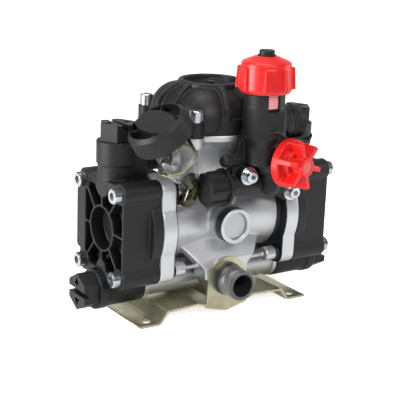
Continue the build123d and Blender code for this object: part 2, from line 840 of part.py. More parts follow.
step_foot_x = 84.0
step_top_x = 75.0
wave_out_z = 15.0
wave_in_x = 37.0
wave_in_z = 16.5
dip_z = 5.5
with BuildPart() as bracket:
    with BuildSketch(Plane.XZ.offset(-bracket_half_y)):
        with BuildLine():
            FilletPolyline(
                (-bracket_half_x + sheet_t / 2, sheet_t / 2),
                (-step_foot_x, sheet_t / 2),
                (-step_top_x, wave_out_z - sheet_t / 2),
                (-wave_in_x, wave_in_z - sheet_t / 2),
                (0, dip_z - sheet_t / 2),
                (wave_in_x, wave_in_z - sheet_t / 2),
                (step_top_x, wave_out_z - sheet_t / 2),
                (step_foot_x, sheet_t / 2),
                (bracket_half_x - sheet_t / 2, sheet_t / 2),
                radius=4,
            )
            offset(amount=sheet_t / 2, side=Side.BOTH)
        make_face()
    extrude(amount=2 * bracket_half_y)
    # front lug around the suction port
    with BuildSketch(front_plane(lug_y, 0, 0)):
        with BuildLine():
            lug_arc = ThreePointArc((-lug_r, port_z), (0, port_z + lug_r), (lug_r, port_z))
            Polyline(lug_arc @ 1, (lug_r + 2, 9), (0, 2.5), (-lug_r - 2, 9), lug_arc @ 0)
        make_face()
    extrude(amount=sheet_t)
    # rear tab
    with BuildSketch(front_plane(44.5 + sheet_t, 0, 0)):
        with BuildLine():
            Polyline((-26, 9), (-26, 54), (26, 54), (26, 9), (0, 2.5), close=True)
        make_face()
    extrude(amount=sheet_t)
    with BuildSketch(front_plane(lug_y - 10, 0, port_z)):
        Circle(port_r + 0.3)
    extrude(amount=-20, mode=Mode.SUBTRACT)
    with BuildSketch(front_plane(60, 0, rear_tab_z)):
        with Locations((-16, 0), (16, 0)):
            Circle(m8_r + 0.4)
    extrude(amount=20, mode=Mode.SUBTRACT)
    with BuildSketch(Plane.XY):
        with GridLocations(2 * foot_x, 2 * foot_y, 2, 2):
            Circle(foot_hole_r)
    extrude(amount=6, mode=Mode.SUBTRACT)
save(bracket.part, "base_bracket")

with BuildPart() as bracket_screws:
    for x in (-16, 16):
        plane = Plane(origin=(x, 44.5 + sheet_t, rear_tab_z), x_dir=(1, 0, 0), z_dir=(0, 1, 0))
        add(cap_screw(plane, 14, m8_r, m8_head_r, 5.5, 3.4))
save(bracket_screws.part, "bracket_screws")

# ---- head screws ----
with BuildPart() as head_screws:
    for side in (-1, 1):
        for y, z in four_bolts:
            plane = Plane(origin=(side * head_face, y, crank_z + z), x_dir=(0, 1, 0), z_dir=(side, 0, 0))
            add(cap_screw(plane, head_bolt_len, m10_r, m10_head_r, m10_head_h, 4.6))
save(head_screws.part, "head_screws")

# ---- delivery pipes ----
pipe_start = pipe_seat_x - pipe_socket + 0.2
with BuildPart() as pipes:
    for side in (-1, 1):
        with BuildSketch(cross_plane(side * pipe_start)):
            with Locations((0, pipe_z - crank_z)):
                Circle(pipe_r)
                Circle(9, mode=Mode.SUBTRACT)
        extrude(amount=side * (flange_out + 9.6 - pipe_start))
save(pipes.part, "delivery_pipes")

# ---- air chamber ----
air_r = 54.0
air_t = 3.0
strap_w = 6.5
strap_turn = 15.0
bulge_r = 32.0
bulge_at = 24.0
bulge_z = 216.0
screw_room_r = 9.0
with BuildPart() as straps:
    with BuildSketch(Plane.XZ):
        with BuildLine():
            Polyline((50, 219), (dome_flange_r, 219), (dome_flange_r, 231), close=False)
            Spline((dome_flange_r, 231), (49, 243), (dome_rim_r + 0.5, dome_top_z - 1))
            Polyline((dome_rim_r + 0.5, dome_top_z - 1), (30, 246), (50, 219))
        make_face()
    revolve(axis=Axis.Z)
    with BuildSketch(Plane.XY.offset(200)):
        for turn in (0, 90, 180, 270):
            for tilt in (-strap_turn, strap_turn):
                with Locations(Location((0, 0, 0), (0, 0, turn + tilt))):
                    with Locations((45, 0)):
                        Rectangle(60, strap_w)
    extrude(amount=60, mode=Mode.INTERSECT)

with BuildPart() as dome:
    with BuildSketch(Plane.XZ):
        with BuildLine():
            Polyline((0, dome_split_z), (dome_flange_r, dome_split_z), (dome_flange_r, 219), (57, 219))
            Spline((57, 219), (50, 236), (36, 246))
            Polyline((36, 246), (dome_rim_r, dome_top_z), (30, dome_top_z), (30, 244), (0, 244), (0, dome_split_z))
        make_face()
    revolve(axis=Axis.Z)
    # swollen panels that run out to the ears, with room for the screw heads
    with Locations([(x, y, bulge_z) for x in (-bulge_at, bulge_at) for y in (-bulge_at, bulge_at)]):
        Sphere(bulge_r)
    split(bisect_by=Plane.XY.offset(dome_split_z), keep=Keep.TOP)
    with BuildSketch(Plane.XY.offset(dome_top_z - 3)):
        Circle(30)
    extrude(amount=10, mode=Mode.SUBTRACT)
    with BuildSketch(Plane.XY.offset(dome_split_z + dome_flange_t)):
        with GridLocations(2 * dome_ear, 2 * dome_ear, 2, 2):
            Circle(screw_room_r)
    extrude(amount=40, mode=Mode.SUBTRACT)
    add(straps.part)
    with BuildSketch(Plane.XY.offset(dome_split_z)):
        with GridLocations(2 * dome_ear, 2 * dome_ear, 2, 2):
            Circle(dome_ear_r)
        Rectangle(2.83 * dome_ear, 14, rotation=45)
        Rectangle(2.83 * dome_ear, 14, rotation=-45)
    extrude(amount=dome_flange_t)
    with BuildSketch(Plane.XZ):
        with BuildLine():
            Polyline((0, dome_split_z), (air_r + gap, dome_split_z), (air_r + gap, dome_split_z + air_t))
            Polyline((air_r + gap, dome_split_z + air_t), (48, dome_split_z + air_t), (48, 219))
            Spline((48, 219), (43, 232), (28, 239))
            Polyline((28, 239), (0, 239), (0, dome_split_z))
        make_face()
    revolve(axis=Axis.Z, mode=Mode.SUBTRACT)
    with BuildSketch(Plane.XY.offset(dome_split_z)):
        with GridLocations(2 * dome_ear, 2 * dome_ear, 2, 2):
            Circle(m8_r + gap)
    extrude(amount=dome_flange_t, mode=Mode.SUBTRACT)
    with BuildSketch(Plane.XY.offset(230)):
        Circle(4 + gap)
    extrude(amount=20, mode=Mode.SUBTRACT)
save(dome.part, "air_chamber_dome")

with BuildPart() as air_membrane:
    with BuildSketch(Plane.XY.offset(dome_split_z)):
        Circle(air_r)
    extrude(amount=air_t)
save(air_membrane.part, "air_chamber_membrane")

with BuildPart() as charging_valve:
    with BuildSketch(Plane.XY.offset(233)):
        Circle(4)
    extrude(amount=17)
    with BuildSketch(Plane.XY.offset(244)):
        Circle(6)
    extrude(amount=2)
save(charging_valve.part, "charging_valve")

with BuildPart() as dome_screws:
    for x in (-dome_ear, dome_ear):
        for y in (-dome_ear, dome_ear):
            plane = Plane(origin=(x, y, dome_split_z + dome_flange_t), x_dir=(1, 0, 0), z_dir=(0, 0, 1))
            add(cap_screw(plane, 26, m8_r, m8_head_r + 0.5, 12, 3.4))
save(dome_screws.part, "dome_screws")

# ---- oil bottle ----
cap_low_d = 70.0
cap_top_d = 93.0
cap_pocket = 8.5
cap_rim_w = 4.2
grip_end = 7.0
grip_mid = 15.5
cap_r = 32.5
gasket_t = 2.0


def bottle_plane(d):
    return Plane(origin=bottle_foot + bottle_axis * d, x_dir=(0, 1, 0), z_dir=bottle_axis)


neck_r = 6.3
neck_top = bottle_foot + bottle_axis * 14
elbow_mid = Vector(elbow_x, bottle_y, elbow_z)
elbow_rise = (neck_top - elbow_mid).length
elbow_plane = Plane(origin=elbow_mid, x_dir=(0, 1, 0), z_dir=(neck_top - elbow_mid))


with BuildPart() as bottle:
    with BuildSketch(bottle_side):
        with BuildLine():
            Polyline(
                (0, 8), (7, 8), (8.5, 12), (bottle_r - 1, ring_d - 6), (bottle_r + 1, ring_d - 2),
                (bottle_r + 1, ring_d + 1), (bottle_r, ring_d + 4), (bottle_r, bottle_top_d), (0, bottle_top_d),
                close=True,
            )
        make_face()
    revolve(axis=bottle_line)
    # elbow that turns back into the crankcase
    with Locations((elbow_x, bottle_y, elbow_z)):
        Sphere(elbow_r)
    with BuildSketch(elbow_plane):
        Circle(neck_r)
    extrude(amount=elbow_rise)
    with BuildSketch(front_plane(bottle_y, elbow_x, elbow_z)):
        Circle(elbow_r - 0.5)
    extrude(amount=-(elbow_seat_y - bottle_y) + gap)
    with BuildSketch(front_plane(bottle_y, elbow_x, elbow_z)):
        Circle(spigot_r)
    extrude(amount=-(elbow_seat_y - bottle_y) - 8)
    # hollow from the mouth down to the spigot
    with BuildSketch(bottle_side):
        with BuildLine():
            Polyline(
                (0, 12), (5, 12), (bottle_r - 3, ring_d - 6), (bottle_r - 2.2, ring_d + 4),
                (bottle_r - 2.2, bottle_top_d), (0, bottle_top_d), close=True,
            )
        make_face()
    revolve(axis=bottle_line, mode=Mode.SUBTRACT)
    with BuildSketch(elbow_plane):
        Circle(neck_r - 2.5)
    extrude(amount=elbow_rise, mode=Mode.SUBTRACT)
    with BuildSketch(front_plane(bottle_y, elbow_x, elbow_z)):
        Circle(spigot_r - 1.4)
    extrude(amount=-(elbow_seat_y - bottle_y) - 9, mode=Mode.SUBTRACT)
save(bottle.part, "oil_bottle")

with BuildPart() as cap_gasket:
    with BuildSketch(bottle_plane(bottle_top_d + 0.1)):
        Circle(bottle_r + 1.5)
        Circle(bottle_r - 4, mode=Mode.SUBTRACT)
    extrude(amount=gasket_t)
save(cap_gasket.part, "oil_cap_gasket")

with BuildPart() as oil_cap:
    with BuildSketch(bottle_plane(cap_low_d)):
        Circle(cap_r)
    extrude(amount=cap_top_d - cap_low_d)
    chamfer(oil_cap.faces().sort_by(bottle_line)[-1].edges(), 4)
    # pockets on both sides of the grip
    with BuildSketch(bottle_plane(cap_top_d)):
        Circle(cap_r - cap_rim_w)
        with BuildLine():
            grip_arc = ThreePointArc((-cap_r, grip_end), (0, grip_mid), (cap_r, grip_end))
            Polyline(grip_arc @ 1, (cap_r, -grip_end))
            back_arc = ThreePointArc((cap_r, -grip_end), (0, -grip_mid), (-cap_r, -grip_end))
            Polyline(back_arc @ 1, (-cap_r, grip_end))
        make_face(mode=Mode.SUBTRACT)
    extrude(amount=-cap_pocket, mode=Mode.SUBTRACT)
    # webs across the pockets
    with BuildSketch(bottle_plane(cap_top_d - cap_pocket)):
        with PolarLocations(cap_r * 0.66, 4, start_angle=50, angular_range=260, endpoint=True):
            Rectangle(cap_r * 0.5, 2.2)
    extrude(amount=cap_pocket - 2)
    with BuildSketch(bottle_plane(cap_low_d)):
        Circle(bottle_r + 3)
    extrude(amount=bottle_top_d + gasket_t + 0.3 - cap_low_d, mode=Mode.SUBTRACT)
save(oil_cap.part, "oil_cap")

# ---- control unit body ----
unit_low_z = 148.0
neck_low_z = 196.0
neck_high_z = 206.0
collar_low_z = 238.0
collar_top_z = 262.0
thread_r = 21.2
out_port_z = 217.5
out_port_end = 57.0
out_thread_x = 38.0
out_root_r = 17.2
nut_room_r = 18.2
cradle_gap = 0.9
cradle_w = 15.0
cradle_t = 1.4
ball_x = 22.6
ball_z = 180.4
ball_r = 19.5
tap_turn = radians(12)
tap_axis = Vector(sin(tap_turn), -cos(tap_turn), 0)
tap_start = Vector(ball_x, unit_y, ball_z)
tap_seat_d = 20.5
tap_skirt_d = 24.0
tap_skirt_r = 26.0
tap_hub_d = 52.0
tap_neck_r = 11.0
tap_stem_r = 4.5
nose_x = 24.5
tube_left_x = -27.0
cap_nut_x = -49.5


def tap_plane(d):
    return Plane(origin=tap_start + tap_axis * d, x_dir=(0, 0, 1), z_dir=tap_axis)


def port_plane(x):
    return Plane(origin=(x, unit_y, out_port_z), x_dir=(0, 1, 0), z_dir=(1, 0, 0))


def tube_plane(x, y=tube_y, z=tube_z):
    return Plane(origin=(x, y, z), x_dir=(0, 1, 0), z_dir=(1, 0, 0))


with BuildPart() as unit:
    # regulator cylinder with its threaded collar
    for z, top, radius in (
        (176, neck_low_z, unit_low_r),
        (neck_high_z, collar_low_z, unit_r),
        (collar_low_z, collar_top_z, thread_r),
    ):
        with BuildSketch(Plane.XY.offset(z)):
            with Locations((unit_x, unit_y)):
                Circle(radius)
        extrude(amount=top - z)
    neck_rise = neck_high_z - neck_low_z
    with BuildSketch(Plane.XY.offset(neck_low_z)):
        with Locations((unit_x, unit_y)):
            Circle(unit_low_r)
    extrude(amount=neck_rise, taper=-degrees(atan2(unit_r - unit_low_r, neck_rise)))
    with Locations((ball_x, unit_y, ball_z)):
        Sphere(ball_r)
    # lower nose
    with BuildSketch(Plane.XY.offset(unit_low_z + 2)):
        with Locations((nose_x, unit_y)):
            Circle(10.5)
    extrude(amount=26)
    with Locations((nose_x, unit_y, unit_low_z + 2)):
        Sphere(10.5)
    # side bulge under the scale window
    with BuildSketch(Plane.XY.offset(196)):
        with Locations((unit_x + 8, unit_y - 15)):
            Circle(8)
    extrude(amount=38)
    # manifold tube and the upper blind tube
    with BuildSketch(tube_plane(tube_left_x)):
        Circle(tube_r)
    extrude(amount=unit_x + 18 - tube_left_x)
    with BuildSketch(tube_plane(-25, tube_y, 178.8)):
        Circle(6.5)
    extrude(amount=45)
    with Locations((-25, tube_y, 178.8)):
        Sphere(6.5)
    # flat web between tubes and regulator
    with BuildSketch(front_plane(tube_y - 3, 0, 0)):
        with BuildLine():
            Polyline(
                (-17, 150), (-18, 174), (-3.5, 218), (unit_x, 224), (30, 160), (20, 146),
                close=True,
            )
        make_face()
    extrude(amount=-6)
    # lugs for the two screws
    with BuildSketch(front_plane(-82, unit_boss_x, unit_boss_z)):
        Circle(10)
    extrude(amount=-(82 - 54.2))
    with BuildSketch(front_plane(-54.4, 0, 0)):
        with BuildLine():
            Polyline((38, 138), (38, 156), (60, 156), (84, 140), (84, 122), (66, 122), close=True)
        make_face()
    extrude(amount=-4.2)
    with BuildSketch(front_plane(-52.2, 76, 123)):
        Rectangle(24, 6.8)
    extrude(amount=-3, mode=Mode.SUBTRACT)
    with BuildSketch(front_plane(unit_y, 42, 150)):
        Rectangle(8, 20)
    extrude(amount=unit_y + 54.4)
    with BuildSketch(front_plane(unit_y, 34, 150)):
        Rectangle(24, 20)
    extrude(amount=-10)
    with BuildSketch(front_plane(tube_y, stub_x, stub_z)):
        Circle(13)
    extrude(amount=-(-tube_y - 54.2))
    # cradle rib under the outlet, cut out for the hose nut
    with BuildSketch(tap_plane(tap_skirt_d - cradle_gap)):
        with BuildLine():
            # local x is height over the ball's centre, local y runs to the left
            FilletPolyline(
                (34, 22.6), (33.5, 14.6), (21, -5.4), (17.1, -24), (17.1, -34), (22.6, -38.8), (36, -38.8),
                radius=3,
            )
            offset(amount=cradle_t, side=Side.BOTH)
        make_face()
    extrude(amount=-cradle_w)
    with BuildSketch(port_plane(out_thread_x)):
        Circle(nut_room_r)
    extrude(amount=out_port_end + 10 - out_thread_x, mode=Mode.SUBTRACT)
    # outlet port: plain root with a shoulder, then the threaded end
    with BuildSketch(port_plane(unit_x)):
        Circle(out_root_r)
    extrude(amount=out_thread_x - unit_x)
    with BuildSketch(port_plane(out_thread_x)):
        Circle(port_r)
    extrude(amount=out_port_end - out_thread_x)
    # small boss on the outlet root
    with BuildSketch(front_plane(unit_y - 18, out_thread_x - 4.5, 213)):
        Circle(3.5)
    extrude(amount=-8)
    # tap socket
    with BuildSketch(tap_plane(8)):
        Circle(tap_neck_r + 3)
    extrude(amount=tap_seat_d - 8)
    # ---- hollows ----
    with BuildSketch(Plane.XY.offset(188)):
        with Locations((unit_x, unit_y)):
            Circle(unit_bore_r)
    extrude(amount=collar_top_z - 188, mode=Mode.SUBTRACT)
    with BuildSketch(Plane.XY.offset(168)):
        with Locations((unit_x, unit_y)):
            Circle(6)
    extrude(amount=24, mode=Mode.SUBTRACT)
    with BuildSketch(port_plane(unit_x + 24)):
        Circle(port_bore_r)
    extrude(amount=out_port_end - unit_x - 24, mode=Mode.SUBTRACT)
    with BuildSketch(tube_plane(tube_left_x)):
        Circle(8)
    extrude(amount=unit_x + 12 - tube_left_x, mode=Mode.SUBTRACT)
    with BuildSketch(front_plane(-54.2, stub_x, stub_z)):
        Circle(7)
    extrude(amount=14, mode=Mode.SUBTRACT)
    with BuildSketch(tap_plane(tap_seat_d)):
        Circle(tap_stem_r + free_gap)
    extrude(amount=-17, mode=Mode.SUBTRACT)
    with BuildSketch(tap_plane(tap_seat_d)):
        Circle(9.2)
    extrude(amount=-5, mode=Mode.SUBTRACT)
    with BuildSketch(front_plane(-82, unit_boss_x, unit_boss_z)):
        Circle(m8_r + 0.3)
    extrude(amount=-30, mode=Mode.SUBTRACT)
    with BuildSketch(front_plane(-60, unit_screw2_x, unit_screw2_z)):
        Circle(m8_r + 0.3)
    extrude(amount=-12, mode=Mode.SUBTRACT)
    # window for the scale strip
    with BuildSketch(front_plane(unit_y - unit_r - 4, 0, 0)):
        with Locations((unit_x - 2.5, 249)):
            Rectangle(12.5, 30)
    extrude(amount=-8.5, mode=Mode.SUBTRACT)
save(unit.part, "control_body")

with BuildPart() as scale:
    with BuildSketch(front_plane(unit_y - unit_r + 3.4, 0, 0)):
        with Locations((unit_x - 2.5, 246)):
            Rectangle(11.5, 18)
    extrude(amount=-1)
save(scale.part, "scale_strip")

# ---- pressure regulator ----
knob_low_z = 252.0
knob_top_z = 289.0
knob_room_z = 277.0
knob_r = 26.5
knob_rib_r = 31.0
cup_low_z = 250.0
regulator_plane = Plane(origin=(unit_x, unit_y, 0), x_dir=(1, 0, 0), z_dir=(0, 0, 1))
knob_side = Plane(origin=(unit_x, unit_y, 0), x_dir=(1, 0, 0), z_dir=(0, -1, 0))
knob_line = Axis((unit_x, unit_y, 0), (0, 0, 1))
with BuildPart() as pressure_knob:
    with BuildSketch(knob_side):
        with BuildLine():
            Polyline(
                (0, knob_top_z), (11.5, knob_top_z), (24.6, 283.6), (26, 282), (26, 278.5), (knob_r, 277.5),
                (knob_r + 1, 255), (26, knob_low_z), (0, knob_low_z), close=True,
            )
        make_face()
    revolve(axis=knob_line)
    with BuildSketch(regulator_plane.offset(255.5)):
        with PolarLocations(knob_r, 8, start_angle=10):
            Rectangle(9.4, 4.2)
    extrude(amount=23, taper=4)
    with BuildSketch(regulator_plane.offset(knob_low_z)):
        Circle(thread_r + 0.5)
    extrude(amount=knob_room_z - knob_low_z, mode=Mode.SUBTRACT)
save(pressure_knob.part, "pressure_knob")

with BuildPart() as knob_button:
    with BuildSketch(regulator_plane.offset(knob_top_z)):
        Circle(9.5)
    extrude(amount=1.2)
    with BuildSketch(regulator_plane.offset(knob_top_z + 1.2)):
        Circle(8)
    extrude(amount=4.8)
    fillet(knob_button.faces().sort_by(Axis.Z)[-1].edges(), 1)
save(knob_button.part, "knob_button")

with BuildPart() as spring_cup:
    with BuildSketch(regulator_plane.offset(cup_low_z)):
        Circle(unit_bore_r - run_gap)
    extrude(amount=6)
    with BuildSketch(regulator_plane.offset(cup_low_z)):
        Circle(7)
    extrude(amount=knob_room_z - cup_low_z)
save(spring_cup.part, "spring_cup")

poppet_z = 188.0
with BuildPart() as relief_poppet:
    with BuildSketch(regulator_plane.offset(poppet_z)):
        Circle(unit_bore_r - run_gap)
    extrude(amount=6)
    with BuildSketch(regulator_plane.offset(poppet_z - 8)):
        Circle(5.5)
    extrude(amount=8)
save(relief_poppet.part, "relief_poppet")
save(
    coil_spring(regulator_plane.offset(poppet_z + 6), 10.5, 1.7, cup_low_z - poppet_z - 6, 7),
    "regulator_spring",
)

# ---- tap ----
with BuildPart() as tap_gland:
    with BuildSketch(tap_plane(tap_seat_d)):
        RegularPolygon(tap_neck_r + 2, 6)
        Circle(tap_stem_r + run_gap, mode=Mode.SUBTRACT)
    extrude(amount=3)
    with BuildSketch(tap_plane(tap_seat_d)):
        Circle(9.1)
        Circle(tap_stem_r + run_gap, mode=Mode.SUBTRACT)
    extrude(amount=-4.5)
save(tap_gland.part, "tap_gland_nut")

with BuildPart() as tap_stem:
    with BuildSketch(tap_plane(5)):
        Circle(tap_stem_r)
    extrude(amount=40)
save(tap_stem.part, "tap_stem")

wing_w = 6.4
with BuildPart() as tap_knob:
    with BuildSketch(tap_plane(tap_skirt_d)):
        Circle(tap_skirt_r)
    extrude(amount=8, taper=6)
    with BuildSketch(tap_plane(tap_skirt_d)):
        Circle(18)
    extrude(amount=14, taper=12)
    with BuildSketch(tap_plane(tap_skirt_d)):
        with PolarLocations(tap_skirt_r / 2, 6, start_angle=15):
            Rectangle(tap_skirt_r, wing_w)
    extrude(amount=25, taper=2)
    with BuildSketch(tap_plane(tap_skirt_d)):
        Circle(9.5)
    extrude(amount=tap_hub_d - tap_skirt_d)
    with BuildSketch(tap_plane(tap_skirt_d)):
        Circle(tap_stem_r + gap)
    extrude(amount=45.1 - tap_skirt_d, mode=Mode.SUBTRACT)
    with BuildSketch(tap_plane(tap_hub_d)):
        Circle(6.1)
    extrude(amount=-1.5, mode=Mode.SUBTRACT)
save(tap_knob.part, "tap_knob")

with BuildPart() as tap_insert:
    with BuildSketch(tap_plane(tap_hub_d - 1.5)):
        Circle(6)
    extrude(amount=1.0)
save(tap_insert.part, "tap_insert")

# ---- blanking cap on the manifold tube ----
nut_r = 16.5
nut_rim_r = 20.0
nut_len = 24.0


def nut_plane(d):
    return Plane(origin=(cap_nut_x + d, tube_y, tube_z), x_dir=(0, 1, 0), z_dir=(1, 0, 0))


with BuildPart() as cap_nut:
    with BuildSketch(nut_plane(0)):
        Circle(nut_r)
    extrude(amount=nut_len - 3)
    with BuildSketch(nut_plane(nut_len - 3)):
        Circle(nut_rim_r)
    extrude(amount=3)
    with BuildSketch(nut_plane(2)):
        with PolarLocations(nut_r, 8):
            Rectangle(4.4, 3)
    extrude(amount=nut_len - 4)
    with BuildSketch(nut_plane(4)):
        Circle(tube_r + free_gap)
    extrude(amount=nut_len, mode=Mode.SUBTRACT)
    with BuildSketch(nut_plane(0)):
        Circle(8)
        Circle(6.5, mode=Mode.SUBTRACT)
    extrude(amount=1, mode=Mode.SUBTRACT)
save(cap_nut.part, "blanking_cap")

with BuildPart() as blank:
    with BuildSketch(nut_plane(4)):
        Circle(tube_r)
    extrude(amount=tube_left_x - cap_nut_x - 4)
save(blank.part, "blanking_disc")

with BuildPart() as unit_screws:
    add(cap_screw(front_plane(-82 - washer_t, unit_boss_x, unit_boss_z), 42, m8_r, m8_head_r, m8_head_h, 3.4))
    add(cap_screw(front_plane(-54.4 - washer_t, unit_screw2_x, unit_screw2_z), 18, m8_r, m8_head_r, m8_head_h, 3.4))
save(unit_screws.part, "control_screws")
with BuildPart() as unit_washers:
    add(washer(front_plane(-82, unit_boss_x, unit_boss_z), washer_r, m8_r + 0.3, washer_t))
    add(washer(front_plane(-54.4, unit_screw2_x, unit_screw2_z), washer_r, m8_r + 0.3, washer_t))
save(unit_washers.part, "control_washers")
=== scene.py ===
import math

import bmesh
import bpy
from mathutils import Matrix, Vector
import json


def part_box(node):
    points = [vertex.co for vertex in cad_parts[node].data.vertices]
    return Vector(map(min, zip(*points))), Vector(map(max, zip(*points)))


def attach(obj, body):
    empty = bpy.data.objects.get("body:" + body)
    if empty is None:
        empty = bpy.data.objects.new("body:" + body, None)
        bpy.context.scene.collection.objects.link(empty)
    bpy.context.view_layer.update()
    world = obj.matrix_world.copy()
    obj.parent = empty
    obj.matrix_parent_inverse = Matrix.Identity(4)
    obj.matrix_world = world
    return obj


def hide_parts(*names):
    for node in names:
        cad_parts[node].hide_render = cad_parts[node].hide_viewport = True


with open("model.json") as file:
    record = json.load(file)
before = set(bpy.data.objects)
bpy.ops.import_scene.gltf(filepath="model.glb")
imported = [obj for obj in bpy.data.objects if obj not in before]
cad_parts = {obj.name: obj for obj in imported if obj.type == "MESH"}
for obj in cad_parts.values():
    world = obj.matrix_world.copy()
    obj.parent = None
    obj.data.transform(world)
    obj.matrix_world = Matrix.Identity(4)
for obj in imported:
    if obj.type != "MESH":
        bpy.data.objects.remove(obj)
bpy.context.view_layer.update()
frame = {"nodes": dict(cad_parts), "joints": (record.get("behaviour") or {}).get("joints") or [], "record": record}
nodes = frame["nodes"]
joints = {joint["name"]: joint for joint in frame["joints"]}
mm = 0.001


class Field:  # a node socket that takes Python operators
    def __init__(self, board, socket):
        self.board = board
        self.socket = socket

    def maths(self, operation, first, second=0.0):
        return self.board.add("ShaderNodeMath", {"operation": operation}, {0: first, 1: second})[0]

    def __add__(self, other):
        return self.maths("ADD", self, other)

    def __sub__(self, other):
        return self.maths("SUBTRACT", self, other)

    def __mul__(self, other):
        return self.maths("MULTIPLY", self, other)


class Board:
    def __init__(self, tree):
        self.tree = tree

    def add(self, kind, settings=None, inputs=None):
        node = self.tree.nodes.new(kind)
        for name, value in (settings or {}).items():
            setattr(node, name, value)
        for name, value in (inputs or {}).items():
            if isinstance(value, Field):
                self.tree.links.new(value.socket, node.inputs[name])
            else:
                node.inputs[name].default_value = value
        return Outputs(self, node)


class Outputs:
    def __init__(self, board, node):
        self.board = board
        self.node = node

    def __getitem__(self, name):
        return Field(self.board, self.node.outputs[name])


def startMaterial(name, fixed):
    material = bpy.data.materials.new(name)
    material.use_nodes = True
    material.node_tree.nodes.clear()
    board = Board(material.node_tree)
    shader = board.add("ShaderNodeBsdfPrincipled", {}, fixed)
    out = board.add("ShaderNodeOutputMaterial")
    board.tree.links.new(shader[0].socket, out.node.inputs["Surface"])
    place = board.add("ShaderNodeTexCoord")["Object"]
    return material, board, shader, place


def feed(board, shader, **links):
    for name, field in links.items():
        board.tree.links.new(field.socket, shader.node.inputs[name.replace("_", " ")])


def grain(board, place, scale, detail=2.0, roughness=0.5):
    return board.add("ShaderNodeTexNoise", {}, {"Vector": place, "Scale": scale, "Detail": detail,
                                                "Roughness": roughness})[0]


def blendColours(board, factor, first, second):
    mixer = board.add("ShaderNodeMix", {"data_type": "RGBA"})
    board.tree.links.new(factor.socket, mixer.node.inputs[0])
    for slot, colour in ((6, first), (7, second)):
        if isinstance(colour, Field):
            board.tree.links.new(colour.socket, mixer.node.inputs[slot])
        else:
            mixer.node.inputs[slot].default_value = (*colour, 1)
    return Field(board, mixer.node.outputs[2])


def roundedNormal(board, radius):
    return board.add("ShaderNodeBevel", {"samples": 4}, {"Radius": radius})[0]


def bumped(board, height, strength, distance, normal=None):
    inputs = {"Height": height, "Strength": strength, "Distance": distance}
    if normal is not None:
        inputs["Normal"] = normal
    return board.add("ShaderNodeBump", {}, inputs)[0]


blackLook = {"dark": (0.004, 0.004, 0.0045), "light": (0.010, 0.010, 0.0105), "rough": 0.38,
             "grainSize": 1500, "grainHeight": 0.00022, "edge": 0.0007}


def blackPlastic(name, look):
    material, board, shader, place = startMaterial(name, {"Specular IOR Level": 0.36, "IOR": 1.5})
    cloud = grain(board, place, 38, 4)
    fine = grain(board, place, look["grainSize"], 2)
    feed(board, shader,
         Base_Color=blendColours(board, cloud, look["dark"], look["light"]),
         Roughness=cloud * 0.14 + fine * 0.08 + look["rough"],
         Normal=bumped(board, fine, 0.5, look["grainHeight"], roundedNormal(board, look["edge"])))
    return material


castLook = {"dark": (0.52, 0.53, 0.545), "light": (0.64, 0.65, 0.665), "rough": 0.32,
            "blastSize": 1700, "blastHeight": 0.00022, "edge": 0.0009}


def castAluminium(name, look):
    material, board, shader, place = startMaterial(name, {"Metallic": 0.82, "Specular IOR Level": 0.5})
    cloud = grain(board, place, 22, 4, 0.6)
    blast = grain(board, place, look["blastSize"], 2)
    feed(board, shader,
         Base_Color=blendColours(board, cloud * 0.7 + blast * 0.3, look["dark"], look["light"]),
         Roughness=cloud * 0.10 + blast * 0.08 + look["rough"],
         Normal=bumped(board, blast, 0.45, look["blastHeight"], roundedNormal(board, look["edge"])))
    return material


zincLook = {"dark": (0.50, 0.53, 0.56), "light": (0.60, 0.63, 0.67), "rough": 0.20}


def brightZinc(name, look):
    material, board, shader, place = startMaterial(name, {"Metallic": 1.0})
    cloud = grain(board, place, 90, 2)
    scratch = grain(board, place, 1400, 2)
    feed(board, shader,
         Base_Color=blendColours(board, cloud, look["dark"], look["light"]),
         Roughness=cloud * 0.06 + look["rough"],
         Normal=bumped(board, scratch, 0.08, 0.00003, roundedNormal(board, 0.0003)))
    return material


passivateLook = {"olive": (0.22, 0.20, 0.10), "gold": (0.58, 0.54, 0.34), "pale": (0.82, 0.81, 0.66),
                 "rough": 0.22}


def yellowPassivate(name, look):
    material, board, shader, place = startMaterial(name, {"Metallic": 0.9})
    broad = grain(board, place, 16, 3, 0.65)
    streak = grain(board, place, 70, 4, 0.7)
    spangle = grain(board, place, 900, 2)
    base = blendColours(board, broad, look["olive"], look["gold"])
    feed(board, shader,
         Base_Color=blendColours(board, streak * streak, base, look["pale"]),
         Roughness=streak * 0.22 + look["rough"],
         Normal=bumped(board, spangle, 0.3, 0.0001, roundedNormal(board, 0.0005)))
    return material


redLook = {"deep": (0.56, 0.004, 0.003), "bright": (0.76, 0.010, 0.007), "rough": 0.30, "edge": 0.0008}


def redPlastic(name, look):
    material, board, shader, place = startMaterial(name, {"Specular IOR Level": 0.5})
    cloud = grain(board, place, 60, 3)
    fine = grain(board, place, 1500, 2)
    feed(board, shader,
         Base_Color=blendColours(board, cloud, look["deep"], look["bright"]),
         Roughness=cloud * 0.12 + look["rough"],
         Normal=bumped(board, fine, 0.22, 0.0001, roundedNormal(board, look["edge"])))
    return material


def machinedMetal(name, dark, light, rough):
    material, board, shader, place = startMaterial(name, {"Metallic": 1.0})
    turned = grain(board, place, 420, 4, 0.6)
    feed(board, shader,
         Base_Color=blendColours(board, turned, dark, light),
         Roughness=turned * 0.2 + rough,
         Normal=bumped(board, turned, 0.2, 0.0001))
    return material


def softRubber(name, dark, light):
    material, board, shader, place = startMaterial(name, {"Specular IOR Level": 0.3})
    cloud = grain(board, place, 300, 3)
    feed(board, shader,
         Base_Color=blendColours(board, cloud, dark, light),
         Roughness=cloud * 0.2 + 0.55,
         Normal=bumped(board, cloud, 0.2, 0.0001))
    return material


stripLook = {"pink": (0.62, 0.10, 0.09), "white": (0.85, 0.62, 0.60), "pitch": 0.0016}


